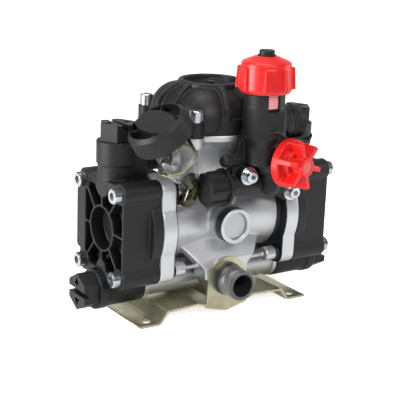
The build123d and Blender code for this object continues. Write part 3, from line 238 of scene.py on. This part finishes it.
def scaleStrip(name, look):  # even ticks with no figures
    material, board, shader, place = startMaterial(name, {"Specular IOR Level": 0.4})
    upright = board.add("ShaderNodeSeparateXYZ", {}, {"Vector": place})["Z"]
    wave = board.add("ShaderNodeMath", {"operation": "SINE"}, {0: upright * (2 * math.pi / look["pitch"])})[0]
    tick = board.add("ShaderNodeMath", {"operation": "GREATER_THAN"}, {0: wave, 1: 0.35})[0]
    wear = grain(board, place, 700, 2)
    feed(board, shader,
         Base_Color=blendColours(board, tick * wear + wear * 0.3, look["pink"], look["white"]),
         Roughness=wear * 0.2 + 0.4)
    return material


def clearBottle(name):
    material, board, shader, place = startMaterial(
        name, {"Transmission Weight": 1.0, "IOR": 1.22, "Specular IOR Level": 0.8})
    wave = grain(board, place, 60, 2)
    feed(board, shader,
         Base_Color=blendColours(board, wave, (0.965, 0.965, 0.95), (1.0, 1.0, 0.995)),
         Roughness=wave * 0.08 + 0.03,
         Normal=bumped(board, wave, 0.25, 0.0008))
    return material


def amberOil(name):
    material, board, shader, place = startMaterial(name, {"Specular IOR Level": 0.7, "IOR": 1.45})
    cloud = grain(board, place, 90, 2)
    feed(board, shader,
         Base_Color=blendColours(board, cloud * cloud, (0.003, 0.002, 0.001), (0.09, 0.065, 0.005)),
         Roughness=cloud * 0.1 + 0.06)
    return material


def tintedSeam(name):
    material, board, shader, place = startMaterial(
        name, {"Specular IOR Level": 0.5, "Transmission Weight": 0.5, "IOR": 1.4})
    cloud = grain(board, place, 200, 2)
    feed(board, shader,
         Base_Color=blendColours(board, cloud, (0.50, 0.45, 0.12), (0.78, 0.74, 0.35)),
         Roughness=cloud * 0.15 + 0.12)
    return material


finishes = {
    "cast": castAluminium("castAluminium", castLook),
    "black": blackPlastic("blackPlastic", blackLook),
    "pipe": blackPlastic("blackPipe", {**blackLook, "rough": 0.30}),
    "red": redPlastic("redPlastic", redLook),
    "zinc": brightZinc("brightZinc", zincLook),
    "bracket": yellowPassivate("yellowPassivate", passivateLook),
    "insert": softRubber("paleInsert", (0.50, 0.075, 0.07), (0.66, 0.14, 0.13)),
    "steel": machinedMetal("machinedSteel", (0.42, 0.43, 0.45), (0.62, 0.63, 0.65), 0.22),
    "brass": machinedMetal("turnedBrass", (0.55, 0.40, 0.16), (0.78, 0.60, 0.30), 0.22),
    "rubber": softRubber("blackRubber", (0.012, 0.012, 0.012), (0.025, 0.025, 0.025)),
    "poppets": softRubber("acetal", (0.66, 0.65, 0.60), (0.80, 0.79, 0.74)),
    "bottle": clearBottle("clearBottle"),
}
stripFinish = scaleStrip("scaleStrip", stripLook)
# painted shade and highlight: the suction port is a dark copy of the cast aluminium and its thread ridge a lighter
# copy, so the thread valleys read as shade
portShadeMetal = castAluminium("portShadeMetal", {**castLook, "dark": (0.09, 0.09, 0.095), "light": (0.16, 0.16, 0.165),
                                        "rough": 0.30, "edge": 0.0004})
threadHighlightMetal = castAluminium("threadHighlightMetal", {**castLook, "dark": (0.34, 0.34, 0.35),
                                            "light": (0.46, 0.46, 0.47), "rough": 0.26, "edge": 0.0001})
# painted shade: a darker copy of the cast aluminium on the front bearing plug
shadedBossMetal = castAluminium("shadedBossMetal", {**castLook, "dark": (0.40, 0.41, 0.42), "light": (0.52, 0.53, 0.54)})
threadBlack = blackPlastic("threadBlack", {**blackLook, "edge": 0.00008})
seamTint = tintedSeam("tintedSeam")
oilLook = amberOil("amberOil")

slotOf = {part["node"]: part["material_slot"] for part in frame["record"]["subparts"]}
for name, node in nodes.items():
    finish = finishes[slotOf[name]]
    if not node.material_slots:
        node.data.materials.append(finish)
    for slot in node.material_slots:
        slot.material = finish
# painted shade colours: the side of the front boss and a strip beside each head flange
bossShadeLook = {"x": 0.0, "z": 0.102, "inner": 0.0150, "outer": 0.0205, "face": -0.0592, "root": -0.0440,
            "fade": 0.006, "shade": (0.055, 0.056, 0.060), "grooveIn": 0.0655, "grooveOut": 0.0712,
            "grooveShade": (0.03, 0.03, 0.032)}


def paintShadeBands(material, look):  # painted shade on the side of the front boss (a dark reflection) and a painted shadow beside each head flange
    board = Board(material.node_tree)
    shader = next(node for node in material.node_tree.nodes if node.type == "BSDF_PRINCIPLED")
    source = Field(board, shader.inputs["Base Color"].links[0].from_socket)
    place = board.add("ShaderNodeTexCoord")["Object"]
    across = board.add("ShaderNodeSeparateXYZ", {}, {"Vector": place})
    aside, rise = across["X"] - look["x"], across["Z"] - look["z"]
    away = board.add("ShaderNodeMath", {"operation": "SQRT"}, {0: aside * aside + rise * rise})[0]

    def above(field, limit):
        return board.add("ShaderNodeMath", {"operation": "GREATER_THAN"}, {0: field, 1: limit})[0]

    def below(field, limit):
        return board.add("ShaderNodeMath", {"operation": "LESS_THAN"}, {0: field, 1: limit})[0]

    reach = board.add("ShaderNodeMapRange", {}, {
        "Value": across["Y"], "From Min": look["root"], "From Max": look["root"] - look["fade"]})[0]
    # painted shade: the side of the front boss is darkened
    bossShade = below(away, look["outer"]) * above(away, look["inner"]) * above(across["Y"], look["face"]) * reach
    side = board.add("ShaderNodeMath", {"operation": "ABSOLUTE"}, {0: across["X"]})[0]
    # painted shadow: a dark strip beside each head flange, where the flange's inner face lies in shade
    flangeShadow = above(side, look["grooveIn"]) * below(side, look["grooveOut"])
    bossShaded = blendColours(board, bossShade, source, look["shade"])
    dressed = blendColours(board, flangeShadow, bossShaded, look["grooveShade"])
    board.tree.links.new(dressed.socket, shader.inputs["Base Color"])
    return material


# the crankcase aluminium carries the painted boss shade and the painted flange shadows
crankcaseMetal = paintShadeBands(castAluminium("crankcaseMetal", castLook), bossShadeLook)
ownFinishes = {"suction_port": portShadeMetal, "front_bearing_plug": shadedBossMetal, "scale_strip": stripFinish,
               "crankcase": crankcaseMetal}
for name, finish in ownFinishes.items():
    for slot in nodes[name].material_slots:
        slot.material = finish
print("materials made")


def settle(piece, body, finish, replaced=()):
    piece.data.materials.clear()
    piece.data.materials.append(finish)
    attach(piece, body)
    if replaced:
        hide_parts(*replaced)
    return piece


def newPiece(name, mesh):
    piece = bpy.data.objects.new(name, mesh)
    bpy.context.scene.collection.objects.link(piece)
    return piece


def applied(piece):
    graph = bpy.context.evaluated_depsgraph_get()
    mesh = bpy.data.meshes.new_from_object(piece.evaluated_get(graph))
    piece.modifiers.clear()
    piece.data = mesh
    return piece


def smoothByAngle(piece, degrees=35):
    mesh = piece.data
    bm = bmesh.new()
    bm.from_mesh(mesh)
    limit = math.radians(degrees)
    for face in bm.faces:
        face.smooth = True
    for edge in bm.edges:
        edge.smooth = len(edge.link_faces) == 2 and edge.calc_face_angle(0) < limit
    bm.to_mesh(mesh)
    bm.free()
    return piece


def mergedCopy(name, sources):
    bm = bmesh.new()
    for source in sources:
        bm.from_mesh(nodes[source].data)
    bmesh.ops.remove_doubles(bm, verts=bm.verts, dist=1e-6)
    mesh = bpy.data.meshes.new(name)
    bm.to_mesh(mesh)
    bm.free()
    return newPiece(name, mesh)


def moulded(name, source, body, slotName, look, finish=None):  # the solid with the fillets of a casting
    piece = mergedCopy(name, [source])
    remesh = piece.modifiers.new("skin", "REMESH")
    remesh.mode = "VOXEL"
    remesh.voxel_size = look["voxel"]
    remesh.adaptivity = 0
    relax = piece.modifiers.new("relax", "SMOOTH")
    relax.factor = 0.5
    relax.iterations = look["relax"]
    thin = piece.modifiers.new("thin", "DECIMATE")
    thin.ratio = look["keep"]
    applied(piece)
    for face in piece.data.polygons:
        face.use_smooth = True
    settle(piece, body, finish or finishes[slotName], [source])
    print(name, len(piece.data.polygons))
    return piece


def axisFrame(axis):  # turns +Z to the axis
    return Vector((0, 0, 1)).rotation_difference(Vector(axis).normalized()).to_matrix().to_4x4()


def lathe(name, profile, origin, axis, steps):
    bm = bmesh.new()
    rings = []
    for radius, along in profile:
        if radius < 1e-7:
            rings.append([bm.verts.new((0, 0, along))])
        else:
            turns = [2 * math.pi * k / steps for k in range(steps)]
            rings.append([bm.verts.new((radius * math.cos(t), radius * math.sin(t), along)) for t in turns])
    pairs = list(zip(rings, rings[1:]))
    if len(rings[0]) > 1 and len(rings[-1]) > 1:
        pairs.append((rings[-1], rings[0]))
    for low, high in pairs:
        for k in range(steps):
            n = (k + 1) % steps
            corners = [low[k % len(low)], low[n % len(low)], high[n % len(high)], high[k % len(high)]]
            unique = list(dict.fromkeys(corners))
            if len(unique) > 2:
                bm.faces.new(unique)
    bmesh.ops.recalc_face_normals(bm, faces=bm.faces)
    bm.transform(Matrix.Translation(Vector(origin)) @ axisFrame(axis))
    mesh = bpy.data.meshes.new(name)
    bm.to_mesh(mesh)
    bm.free()
    return newPiece(name, mesh)


def bevelled(piece, width, segments=3, degrees=28):
    bevel = piece.modifiers.new("edge", "BEVEL")
    bevel.width = width
    bevel.segments = segments
    bevel.limit_method = "ANGLE"
    bevel.angle_limit = math.radians(degrees)
    applied(piece)
    return smoothByAngle(piece, 40)


skinLooks = {
    "crankcase": {"voxel": 1.0 * mm, "relax": 4, "keep": 0.42},
    "headLeft": {"voxel": 0.85 * mm, "relax": 3, "keep": 0.42},
    "headRight": {"voxel": 0.85 * mm, "relax": 3, "keep": 0.42},
    "dome": {"voxel": 0.9 * mm, "relax": 3, "keep": 0.5},
    "controlBody": {"voxel": 0.75 * mm, "relax": 3, "keep": 0.6},
    "tapKnob": {"voxel": 0.45 * mm, "relax": 4, "keep": 0.5},
    "pressureKnob": {"voxel": 0.5 * mm, "relax": 4, "keep": 0.6},
}

moulded("crankcaseSkin", "crankcase", "pump", "cast", skinLooks["crankcase"], crankcaseMetal)
moulded("headLeftSkin", "head_left", "pump", "black", skinLooks["headLeft"])
moulded("headRightSkin", "head_right", "pump", "black", skinLooks["headRight"])
moulded("domeSkin", "air_chamber_dome", "pump", "black", skinLooks["dome"])
moulded("controlBodySkin", "control_body", "pump", "black", skinLooks["controlBody"])
moulded("tapKnobSkin", "tap_knob", "tap_handle", "red", skinLooks["tapKnob"])
moulded("pressureKnobSkin", "pressure_knob", "pressure_handle", "red", skinLooks["pressureKnob"])
print("castings filleted")


def oneIsland(bm, start):
    reached = {start}
    edge = [start]
    while edge:
        for link in edge.pop().link_edges:
            for vert in link.verts:
                if vert not in reached:
                    reached.add(vert)
                    edge.append(vert)
    return reached


def solidBoxes(node):  # one box for each separate solid of a CAD node
    bm = bmesh.new()
    bm.from_mesh(nodes[node].data)
    bmesh.ops.remove_doubles(bm, verts=bm.verts, dist=1e-6)
    left = set(bm.verts)
    boxes = []
    while left:
        island = oneIsland(bm, next(iter(left)))
        left -= island
        places = [vert.co for vert in island]
        boxes.append([Vector([pick(at[k] for at in places) for k in range(3)]) for pick in (min, max)])
    bm.free()
    return sorted(boxes, key=lambda box: tuple(round(v, 4) for v in box[0]))


class Grove(Board):  # a Geometry Nodes tree with named inputs
    def __init__(self, name, sizes):
        super().__init__(bpy.data.node_groups.new(name, "GeometryNodeTree"))
        face = self.tree.interface
        face.new_socket("Geometry", in_out="INPUT", socket_type="NodeSocketGeometry")
        for size, kind in sizes.items():
            face.new_socket(size, in_out="INPUT", socket_type=kind)
        face.new_socket("Geometry", in_out="OUTPUT", socket_type="NodeSocketGeometry")
        self.inputs = self.add("NodeGroupInput")

    def finishWith(self, geometry, material):
        real = self.add("GeometryNodeRealizeInstances", {}, {"Geometry": geometry})["Geometry"]
        dressed = self.add("GeometryNodeSetMaterial", {}, {
            "Geometry": real, "Material": material})["Geometry"]
        self.add("NodeGroupOutput", {}, {"Geometry": dressed})
        return self.tree


def grown(piece, tree, values):  # the tree's result as a plain mesh
    modifier = piece.modifiers.new("grow", "NODES")
    modifier.node_group = tree
    for item in tree.interface.items_tree:
        if item.in_out == "INPUT" and item.name in values:
            modifier[item.identifier] = values[item.name]
    return applied(piece)


def placed(piece, matrix):
    piece.data.transform(matrix)
    return piece


realSize, wholeNumber = "NodeSocketFloat", "NodeSocketInt"


def threadTree(material):  # one ridge wound as a helix
    sizes = ("Radius", "Turns", "Height", "Ridge")
    grove = Grove("threadRidge", {name: realSize for name in sizes})
    size = grove.inputs
    helix = grove.add("GeometryNodeCurveSpiral", {}, {
        "Resolution": 72, "Rotations": size["Turns"], "Start Radius": size["Radius"],
        "End Radius": size["Radius"], "Height": size["Height"]})["Curve"]
    section = grove.add("GeometryNodeCurvePrimitiveCircle", {}, {
        "Resolution": 5, "Radius": size["Ridge"]})["Curve"]
    ridge = grove.add("GeometryNodeCurveToMesh", {}, {
        "Curve": helix, "Profile Curve": section, "Fill Caps": True})["Mesh"]
    return grove.finishWith(ridge, material)


def ringTree(material):  # ribs round each point's own axis
    grove = Grove("ribRing", {
        "Radius": realSize, "Count": wholeNumber, "Width": realSize, "Depth": realSize, "Length": realSize})
    size = grove.inputs
    bar = grove.add("ShaderNodeCombineXYZ", {}, {
        "X": size["Depth"], "Y": size["Width"], "Z": size["Length"]})[0]
    rib = grove.add("GeometryNodeMeshCube", {}, {"Size": bar})["Mesh"]
    ring = grove.add("GeometryNodeMeshCircle", {}, {
        "Vertices": size["Count"], "Radius": size["Radius"]})["Mesh"]
    outward = grove.add("GeometryNodeInputPosition")[0]
    turn = grove.add("FunctionNodeAlignRotationToVector", {"axis": "X"}, {"Vector": outward})[0]
    ribs = grove.add("GeometryNodeInstanceOnPoints", {}, {
        "Points": ring, "Instance": rib, "Rotation": turn})[0]
    facing = grove.add("GeometryNodeInputNamedAttribute", {"data_type": "FLOAT_VECTOR"}, {
        "Name": "facing"})[0]
    lean = grove.add("FunctionNodeAlignRotationToVector", {"axis": "Z"}, {"Vector": facing})[0]
    rings = grove.add("GeometryNodeInstanceOnPoints", {}, {
        "Points": size["Geometry"], "Instance": ribs, "Rotation": lean})[0]
    return grove.finishWith(rings, material)


def knurlTree(material):  # two hands of short helices that cross as diamonds
    grove = Grove("diamondKnurl", {
        "Radius": realSize, "Height": realSize, "Slant": realSize, "Ridge": realSize, "Count": wholeNumber})
    size = grove.inputs
    section = grove.add("GeometryNodeCurvePrimitiveCircle", {}, {
        "Resolution": 4, "Radius": size["Ridge"]})["Curve"]
    point = grove.add("GeometryNodePoints", {}, {"Count": size["Count"]})[0]
    place = grove.add("GeometryNodeInputIndex")[0]
    share = grove.add("ShaderNodeMath", {"operation": "DIVIDE"}, {
        0: place * (2 * math.pi), 1: size["Count"]})[0]
    turn = grove.add("ShaderNodeCombineXYZ", {}, {"Z": share})[0]
    joined = grove.add("GeometryNodeJoinGeometry")
    for hand in (False, True):
        helix = grove.add("GeometryNodeCurveSpiral", {}, {
            "Resolution": 60, "Rotations": size["Slant"], "Start Radius": size["Radius"],
            "End Radius": size["Radius"], "Height": size["Height"], "Reverse": hand})["Curve"]
        ridge = grove.add("GeometryNodeCurveToMesh", {}, {
            "Curve": helix, "Profile Curve": section, "Fill Caps": True})["Mesh"]
        around = grove.add("GeometryNodeInstanceOnPoints", {}, {
            "Points": point, "Instance": ridge, "Rotation": turn})[0]
        grove.tree.links.new(around.socket, joined.node.inputs[0])
    return grove.finishWith(joined[0], material)


def carrier(name, places=((0, 0, 0),), facing=(0, 0, 1)):  # bare points for a tree to work on
    mesh = bpy.data.meshes.new(name)
    mesh.from_pydata([tuple(place) for place in places], [], [])
    attribute = mesh.attributes.new("facing", "FLOAT_VECTOR", "POINT")
    for item in attribute.data:
        item.vector = facing
    return newPiece(name, mesh)


# screw threads
threadLooks = {
    "suctionThread": {"start": (0, -0.0750, 0.0397), "axis": (0, 1, 0),
                      "radius": 16.2 * mm, "height": 21.5 * mm, "pitch": 2.6 * mm, "ridge": 0.75 * mm,
                      "finish": threadHighlightMetal, "slot": "cast"},
    "outletThread": {"start": (0.0385, -0.083, 0.2175), "axis": (1, 0, 0),
                     "radius": 16.2 * mm, "height": 17.5 * mm, "pitch": 2.3 * mm, "ridge": 0.95 * mm,
                     "finish": threadBlack, "slot": "black"},
    "collarThread": {"start": (0.012, -0.083, 0.2395), "axis": (0, 0, 1),
                     "radius": 20.9 * mm, "height": 12.0 * mm, "pitch": 2.4 * mm, "ridge": 0.6 * mm,
                     "finish": threadBlack, "slot": "black"},
}


def wound(name, look):
    piece = grown(carrier(name), threadTree(look["finish"]), {
        "Radius": look["radius"], "Turns": look["height"] / look["pitch"], "Height": look["height"],
        "Ridge": look["ridge"]})
    placed(piece, Matrix.Translation(Vector(look["start"])) @ axisFrame(look["axis"]))
    return piece


def cleared(piece, low, high):  # takes a box out of a piece
    bm = bmesh.new()
    bmesh.ops.create_cube(bm, size=1)
    size = Vector(high) - Vector(low)
    bm.transform(Matrix.Translation((Vector(high) + Vector(low)) / 2) @ Matrix.Diagonal((*size, 1)))
    mesh = bpy.data.meshes.new("room")
    bm.to_mesh(mesh)
    bm.free()
    room = newPiece("room", mesh)
    cut = piece.modifiers.new("cut", "BOOLEAN")
    cut.object = room
    cut.solver = "EXACT"
    applied(piece)
    bpy.data.objects.remove(room)
    return piece


for name, look in threadLooks.items():
    thread = wound(name, look)
    if name == "collarThread":
        stripLow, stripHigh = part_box("scale_strip")
        margin = 0.0008
        cleared(thread, (stripLow[0] - margin, -0.12, 0.2), (stripHigh[0] + margin, -0.09, 0.28))
    settle(smoothByAngle(thread, 12), "pump", look["finish"])
print("threads wound")

# knurled heads of the socket screws
screwKnurls = {
    "headScrewKnurls": {"node": "head_screws", "axis": (0, 0, 0), "radius": 8.0, "head": 9.0, "count": 30},
    "domeScrewKnurls": {"node": "dome_screws", "axis": (0, 0, 1), "radius": 7.0, "head": 12.0, "count": 26},
    "controlScrewKnurls": {
        "node": "control_screws", "axis": (0, -1, 0), "radius": 6.5, "head": 8.0, "count": 24},
    "bracketScrewKnurls": {
        "node": "bracket_screws", "axis": (0, 0, 0), "radius": 6.5, "head": 5.5, "count": 24},
}  # a zero axis is found from the screw's side
ribRings = ringTree(finishes["zinc"])


def knurledHeads(name, look):
    groups = {}
    for low, high in solidBoxes(look["node"]):
        middlePoint = (low + high) / 2
        axis = Vector(look["axis"])
        if axis.length == 0:
            axis = headDirection(look["node"], low, high)
        depth = look["head"] * mm
        along = max(high.dot(axis), low.dot(axis)) - depth * 0.52
        spot = middlePoint - axis * middlePoint.dot(axis) + axis * along
        groups.setdefault(tuple(axis), []).append(spot)
    parts = []
    for axis, spots in groups.items():
        parts.append(grown(carrier(name, spots, axis), ribRings, {
            "Radius": (look["radius"] - 0.02) * mm, "Count": look["count"], "Width": 0.75 * mm,
            "Depth": 0.5 * mm, "Length": look["head"] * 0.7 * mm}))
    piece = joinedPieces(parts)
    settle(piece, "pump", finishes["zinc"])


def headDirection(node, low, high):  # from the thin end to the head
    middlePoint = (low + high) / 2
    if node == "head_screws":
        return Vector((1 if middlePoint.x > 0 else -1, 0, 0))
    return Vector((0, -1 if middlePoint.y < 0 else 1, 0))


def joinedPieces(parts):
    first = parts[0]
    bm = bmesh.new()
    for part in parts:
        bm.from_mesh(part.data)
    mesh = bpy.data.meshes.new(first.name)
    bm.to_mesh(mesh)
    bm.free()
    for part in parts[1:]:
        bpy.data.objects.remove(part)
    first.data = mesh
    return first


for name, look in screwKnurls.items():
    knurledHeads(name, look)
print("screw heads knurled")

# the oil bottle's clear funnel, its elbow, the oil and the yellowed seam
bottleLook = {"mouth": 80, "radius": 22, "seam": 41, "wall": 1.6, "footRadius": 8.4, "footAt": 9,
              "neckRadius": 7.4, "elbow": (-0.0605, -0.056, 0.137), "seat": (-0.0605, -0.0479, 0.137),
              "oilLow": 5.6, "oilTop": 17}
bottleFoot = Vector(joints["cap_turn"]["pos_m"])
bottleAxis = Vector(joints["cap_turn"]["axis"]).normalized()


def funnel(look):
    r, wall, seam = look["radius"], look["wall"], look["seam"]
    outer = [(look["neckRadius"], 2), (look["footRadius"], look["footAt"]), (r - 2.2, seam - 7),
             (r - 0.4, seam - 3), (r + 0.9, seam - 1.6), (r + 0.9, seam + 1), (r, seam + 3),
             (r, look["mouth"] - 0.2)]
    inner = [(r - wall, look["mouth"] - 0.2), (r - wall, seam + 2), (r - wall - 1.2, seam - 4),
             (r - wall - 3, seam - 8), (look["footRadius"] - wall, look["footAt"] + 1),
             (look["neckRadius"] - wall, 2)]
    piece = lathe("bottleFunnel", [(a * mm, b * mm) for a, b in outer + inner], bottleFoot, bottleAxis, 128)
    bevelled(piece, 0.6 * mm, 3, 20)
    return settle(piece, "pump", finishes["bottle"], ["oil_bottle"])


def bentTube(name, points, radius):
    curve = bpy.data.curves.new(name, "CURVE")
    curve.dimensions = "3D"
    spline = curve.splines.new("NURBS")
    spline.points.add(len(points) - 1)
    for spot, place in zip(spline.points, points):
        spot.co = (*place, 1)
    spline.order_u = 3
    spline.use_endpoint_u = True
    spline.resolution_u = 10
    curve.bevel_depth = radius
    curve.bevel_resolution = 8
    curve.use_fill_caps = True
    source = newPiece(name, curve)
    graph = bpy.context.evaluated_depsgraph_get()
    mesh = bpy.data.meshes.new_from_object(source.evaluated_get(graph))
    bpy.data.objects.remove(source)
    bm = bmesh.new()
    bm.from_mesh(mesh)
    bmesh.ops.remove_doubles(bm, verts=bm.verts, dist=1e-6)
    bmesh.ops.recalc_face_normals(bm, faces=bm.faces)
    bm.to_mesh(mesh)
    bm.free()
    return newPiece(name, mesh)


def elbow(look):
    corner = Vector(look["elbow"])
    top = bottleFoot + bottleAxis * 4 * mm
    route = [top, (top + corner) / 2, corner, (corner + Vector(look["seat"])) / 2, Vector(look["seat"])]
    outside = bentTube("bottleElbow", route, look["neckRadius"] * mm)
    settle(smoothByAngle(outside, 60), "pump", finishes["bottle"])
    oilRoute = [route[0] + bottleAxis * 1 * mm] + route[1:4] + [route[4] - Vector((0, 0.0012, 0))]
    inside = bentTube("oilInElbow", oilRoute, (look["neckRadius"] - 1.1) * mm)
    settle(smoothByAngle(inside, 60), "pump", oilLook)


def oilLevel(look):
    low, top = look["oilLow"], look["oilTop"]
    slope = (look["radius"] - look["footRadius"]) / (look["seam"] - look["footAt"])
    radius = look["footRadius"] - look["wall"] - 0.5
    rise = radius + slope * (top - look["footAt"]) * 0.75
    profile = [(0, low), (look["neckRadius"] - look["wall"] - 0.4, low), (radius, look["footAt"] + 1),
               (rise, top), (rise - 0.5, top - 0.3), (0, top - 0.5)]
    piece = lathe("oilInFoot", [(a * mm, b * mm) for a, b in profile], bottleFoot, bottleAxis, 64)
    settle(smoothByAngle(piece, 50), "pump", oilLook)


def seamRing(look):
    r, seam = look["radius"] + 0.75, look["seam"] - 1.2
    profile = [(r - 0.2, seam - 0.5), (r + 0.45, seam - 0.3), (r + 0.45, seam + 0.3),
               (r - 0.2, seam + 0.5)]
    piece = lathe("bottleSeam", [(a * mm, b * mm) for a, b in profile], bottleFoot, bottleAxis, 128)
    settle(smoothByAngle(piece, 50), "pump", seamTint)


funnel(bottleLook)
elbow(bottleLook)
oilLevel(bottleLook)
seamRing(bottleLook)
print("oil bottle blown")

# the oil cap's cross knurl
capKnurlLook = {"low": 72.5, "height": 14.5, "radius": 32.4, "slant": 0.055, "ridge": 0.5, "count": 62}
# painted highlight: a lighter copy of the black plastic on the knurl ridges
knurlHighlightBlack = blackPlastic("knurlHighlightBlack", {**blackLook, "dark": (0.012, 0.012, 0.0125),
                                         "light": (0.022, 0.022, 0.023), "edge": 0.0001})


def capKnurl(look):
    piece = grown(carrier("oilCapKnurl"), knurlTree(knurlHighlightBlack), {
        "Radius": look["radius"] * mm, "Height": look["height"] * mm, "Slant": look["slant"],
        "Ridge": look["ridge"] * mm, "Count": look["count"]})
    placed(piece, Matrix.Translation(bottleFoot + bottleAxis * look["low"] * mm) @ axisFrame(bottleAxis))
    settle(piece, "cap", knurlHighlightBlack)


capKnurl(capKnurlLook)
print("cap knurled")


# paper sweep and soft lights
studioLook = {"reach": 3.0, "side": 4, "back": 2.2, "rise": 2.6, "sweep": 0.9, "turn": -33.5, "key": 32,
              "front": 22, "top": 14, "rim": 8, "world": 0.08, "glow": (0.12, 0.75)}


def studio(look):
    bm = bmesh.new()
    lines = [(-look["reach"], 0.0), (look["back"] - look["sweep"], 0.0)]
    for k in range(1, 17):
        turn = math.pi / 2 * k / 16
        lines.append((look["back"] - look["sweep"] + look["sweep"] * math.sin(turn),
                      look["sweep"] * (1 - math.cos(turn))))
    lines.append((look["back"], look["rise"]))
    left = [bm.verts.new((-look["side"], y, z)) for y, z in lines]
    right = [bm.verts.new((look["side"], y, z)) for y, z in lines]
    for k in range(len(lines) - 1):
        bm.faces.new([left[k], right[k], right[k + 1], left[k + 1]])
    mesh = bpy.data.meshes.new("sweep")
    bm.to_mesh(mesh)
    bm.free()
    sweep = newPiece("sweep", mesh)
    for face in mesh.polygons:
        face.use_smooth = True
    material, board, shader, place = startMaterial("paperSweep", {
        "Roughness": 0.9, "Specular IOR Level": 0.1, "Emission Strength": 1.0})
    seen = board.add("ShaderNodeLightPath")["Is Camera Ray"]
    glow = look["glow"]
    cloud = grain(board, place, 3, 2)
    feed(board, shader, Base_Color=blendColours(board, cloud, (0.90, 0.90, 0.90), (0.93, 0.93, 0.93)),
         Emission_Color=blendColours(board, seen, (glow[0],) * 3, (glow[1],) * 3))
    mesh.materials.append(material)
    sweep.matrix_world = Matrix.Rotation(math.radians(look["turn"]), 4, "Z")


def softbox(name, place, aim, size, power):
    light = bpy.data.lights.new(name, "AREA")
    light.shape = "RECTANGLE"
    light.size, light.size_y = size
    light.energy = power
    box = bpy.data.objects.new(name, light)
    bpy.context.scene.collection.objects.link(box)
    box.location = place
    box.rotation_euler = (Vector(aim) - Vector(place)).to_track_quat("-Z", "Y").to_euler()


studio(studioLook)
middle = (0, 0, 0.13)
softbox("keyLeft", (-1.6, 0.25, 0.42), middle, (0.6, 0.9), studioLook["key"])
softbox("frontHigh", (-0.15, -1.5, 1.25), middle, (1.0, 0.7), studioLook["front"])
softbox("topBox", (-0.1, 0.1, 1.6), middle, (0.9, 0.9), studioLook["top"])
softbox("rimRight", (1.5, -0.5, 0.6), middle, (0.3, 1.0), studioLook["rim"])
world = bpy.data.worlds.new("studio")
world.use_nodes = True
world.node_tree.nodes["Background"].inputs["Color"].default_value = (1, 1, 1, 1)
world.node_tree.nodes["Background"].inputs["Strength"].default_value = studioLook["world"]
bpy.context.scene.world = world
bpy.context.scene.view_settings.view_transform = "Standard"

cameraLook = {"azimuth": 33.52, "elevation": 15.70, "roll": 2.08, "distance": 1.334,
              "target": (-0.0084, 0, 0.1174), "lens": 108.86}


def placeCamera(look):
    data = bpy.data.cameras.new("camera")
    data.lens = look["lens"]
    data.sensor_width = 36
    eye = bpy.data.objects.new("camera", data)
    bpy.context.scene.collection.objects.link(eye)
    turn = math.radians(look["azimuth"])
    rise = math.radians(look["elevation"])
    away = Vector((-math.sin(turn) * math.cos(rise), -math.cos(turn) * math.cos(rise), math.sin(rise)))
    target = Vector(look["target"])
    eye.location = target + away * look["distance"]
    facing = (-away).to_track_quat("-Z", "Y").to_matrix().to_4x4()
    roll = Matrix.Rotation(math.radians(look["roll"]), 4, "Z")
    eye.matrix_world = Matrix.Translation(eye.location) @ facing @ roll
    bpy.context.scene.camera = eye


placeCamera(cameraLook)
print("camera and light placed")
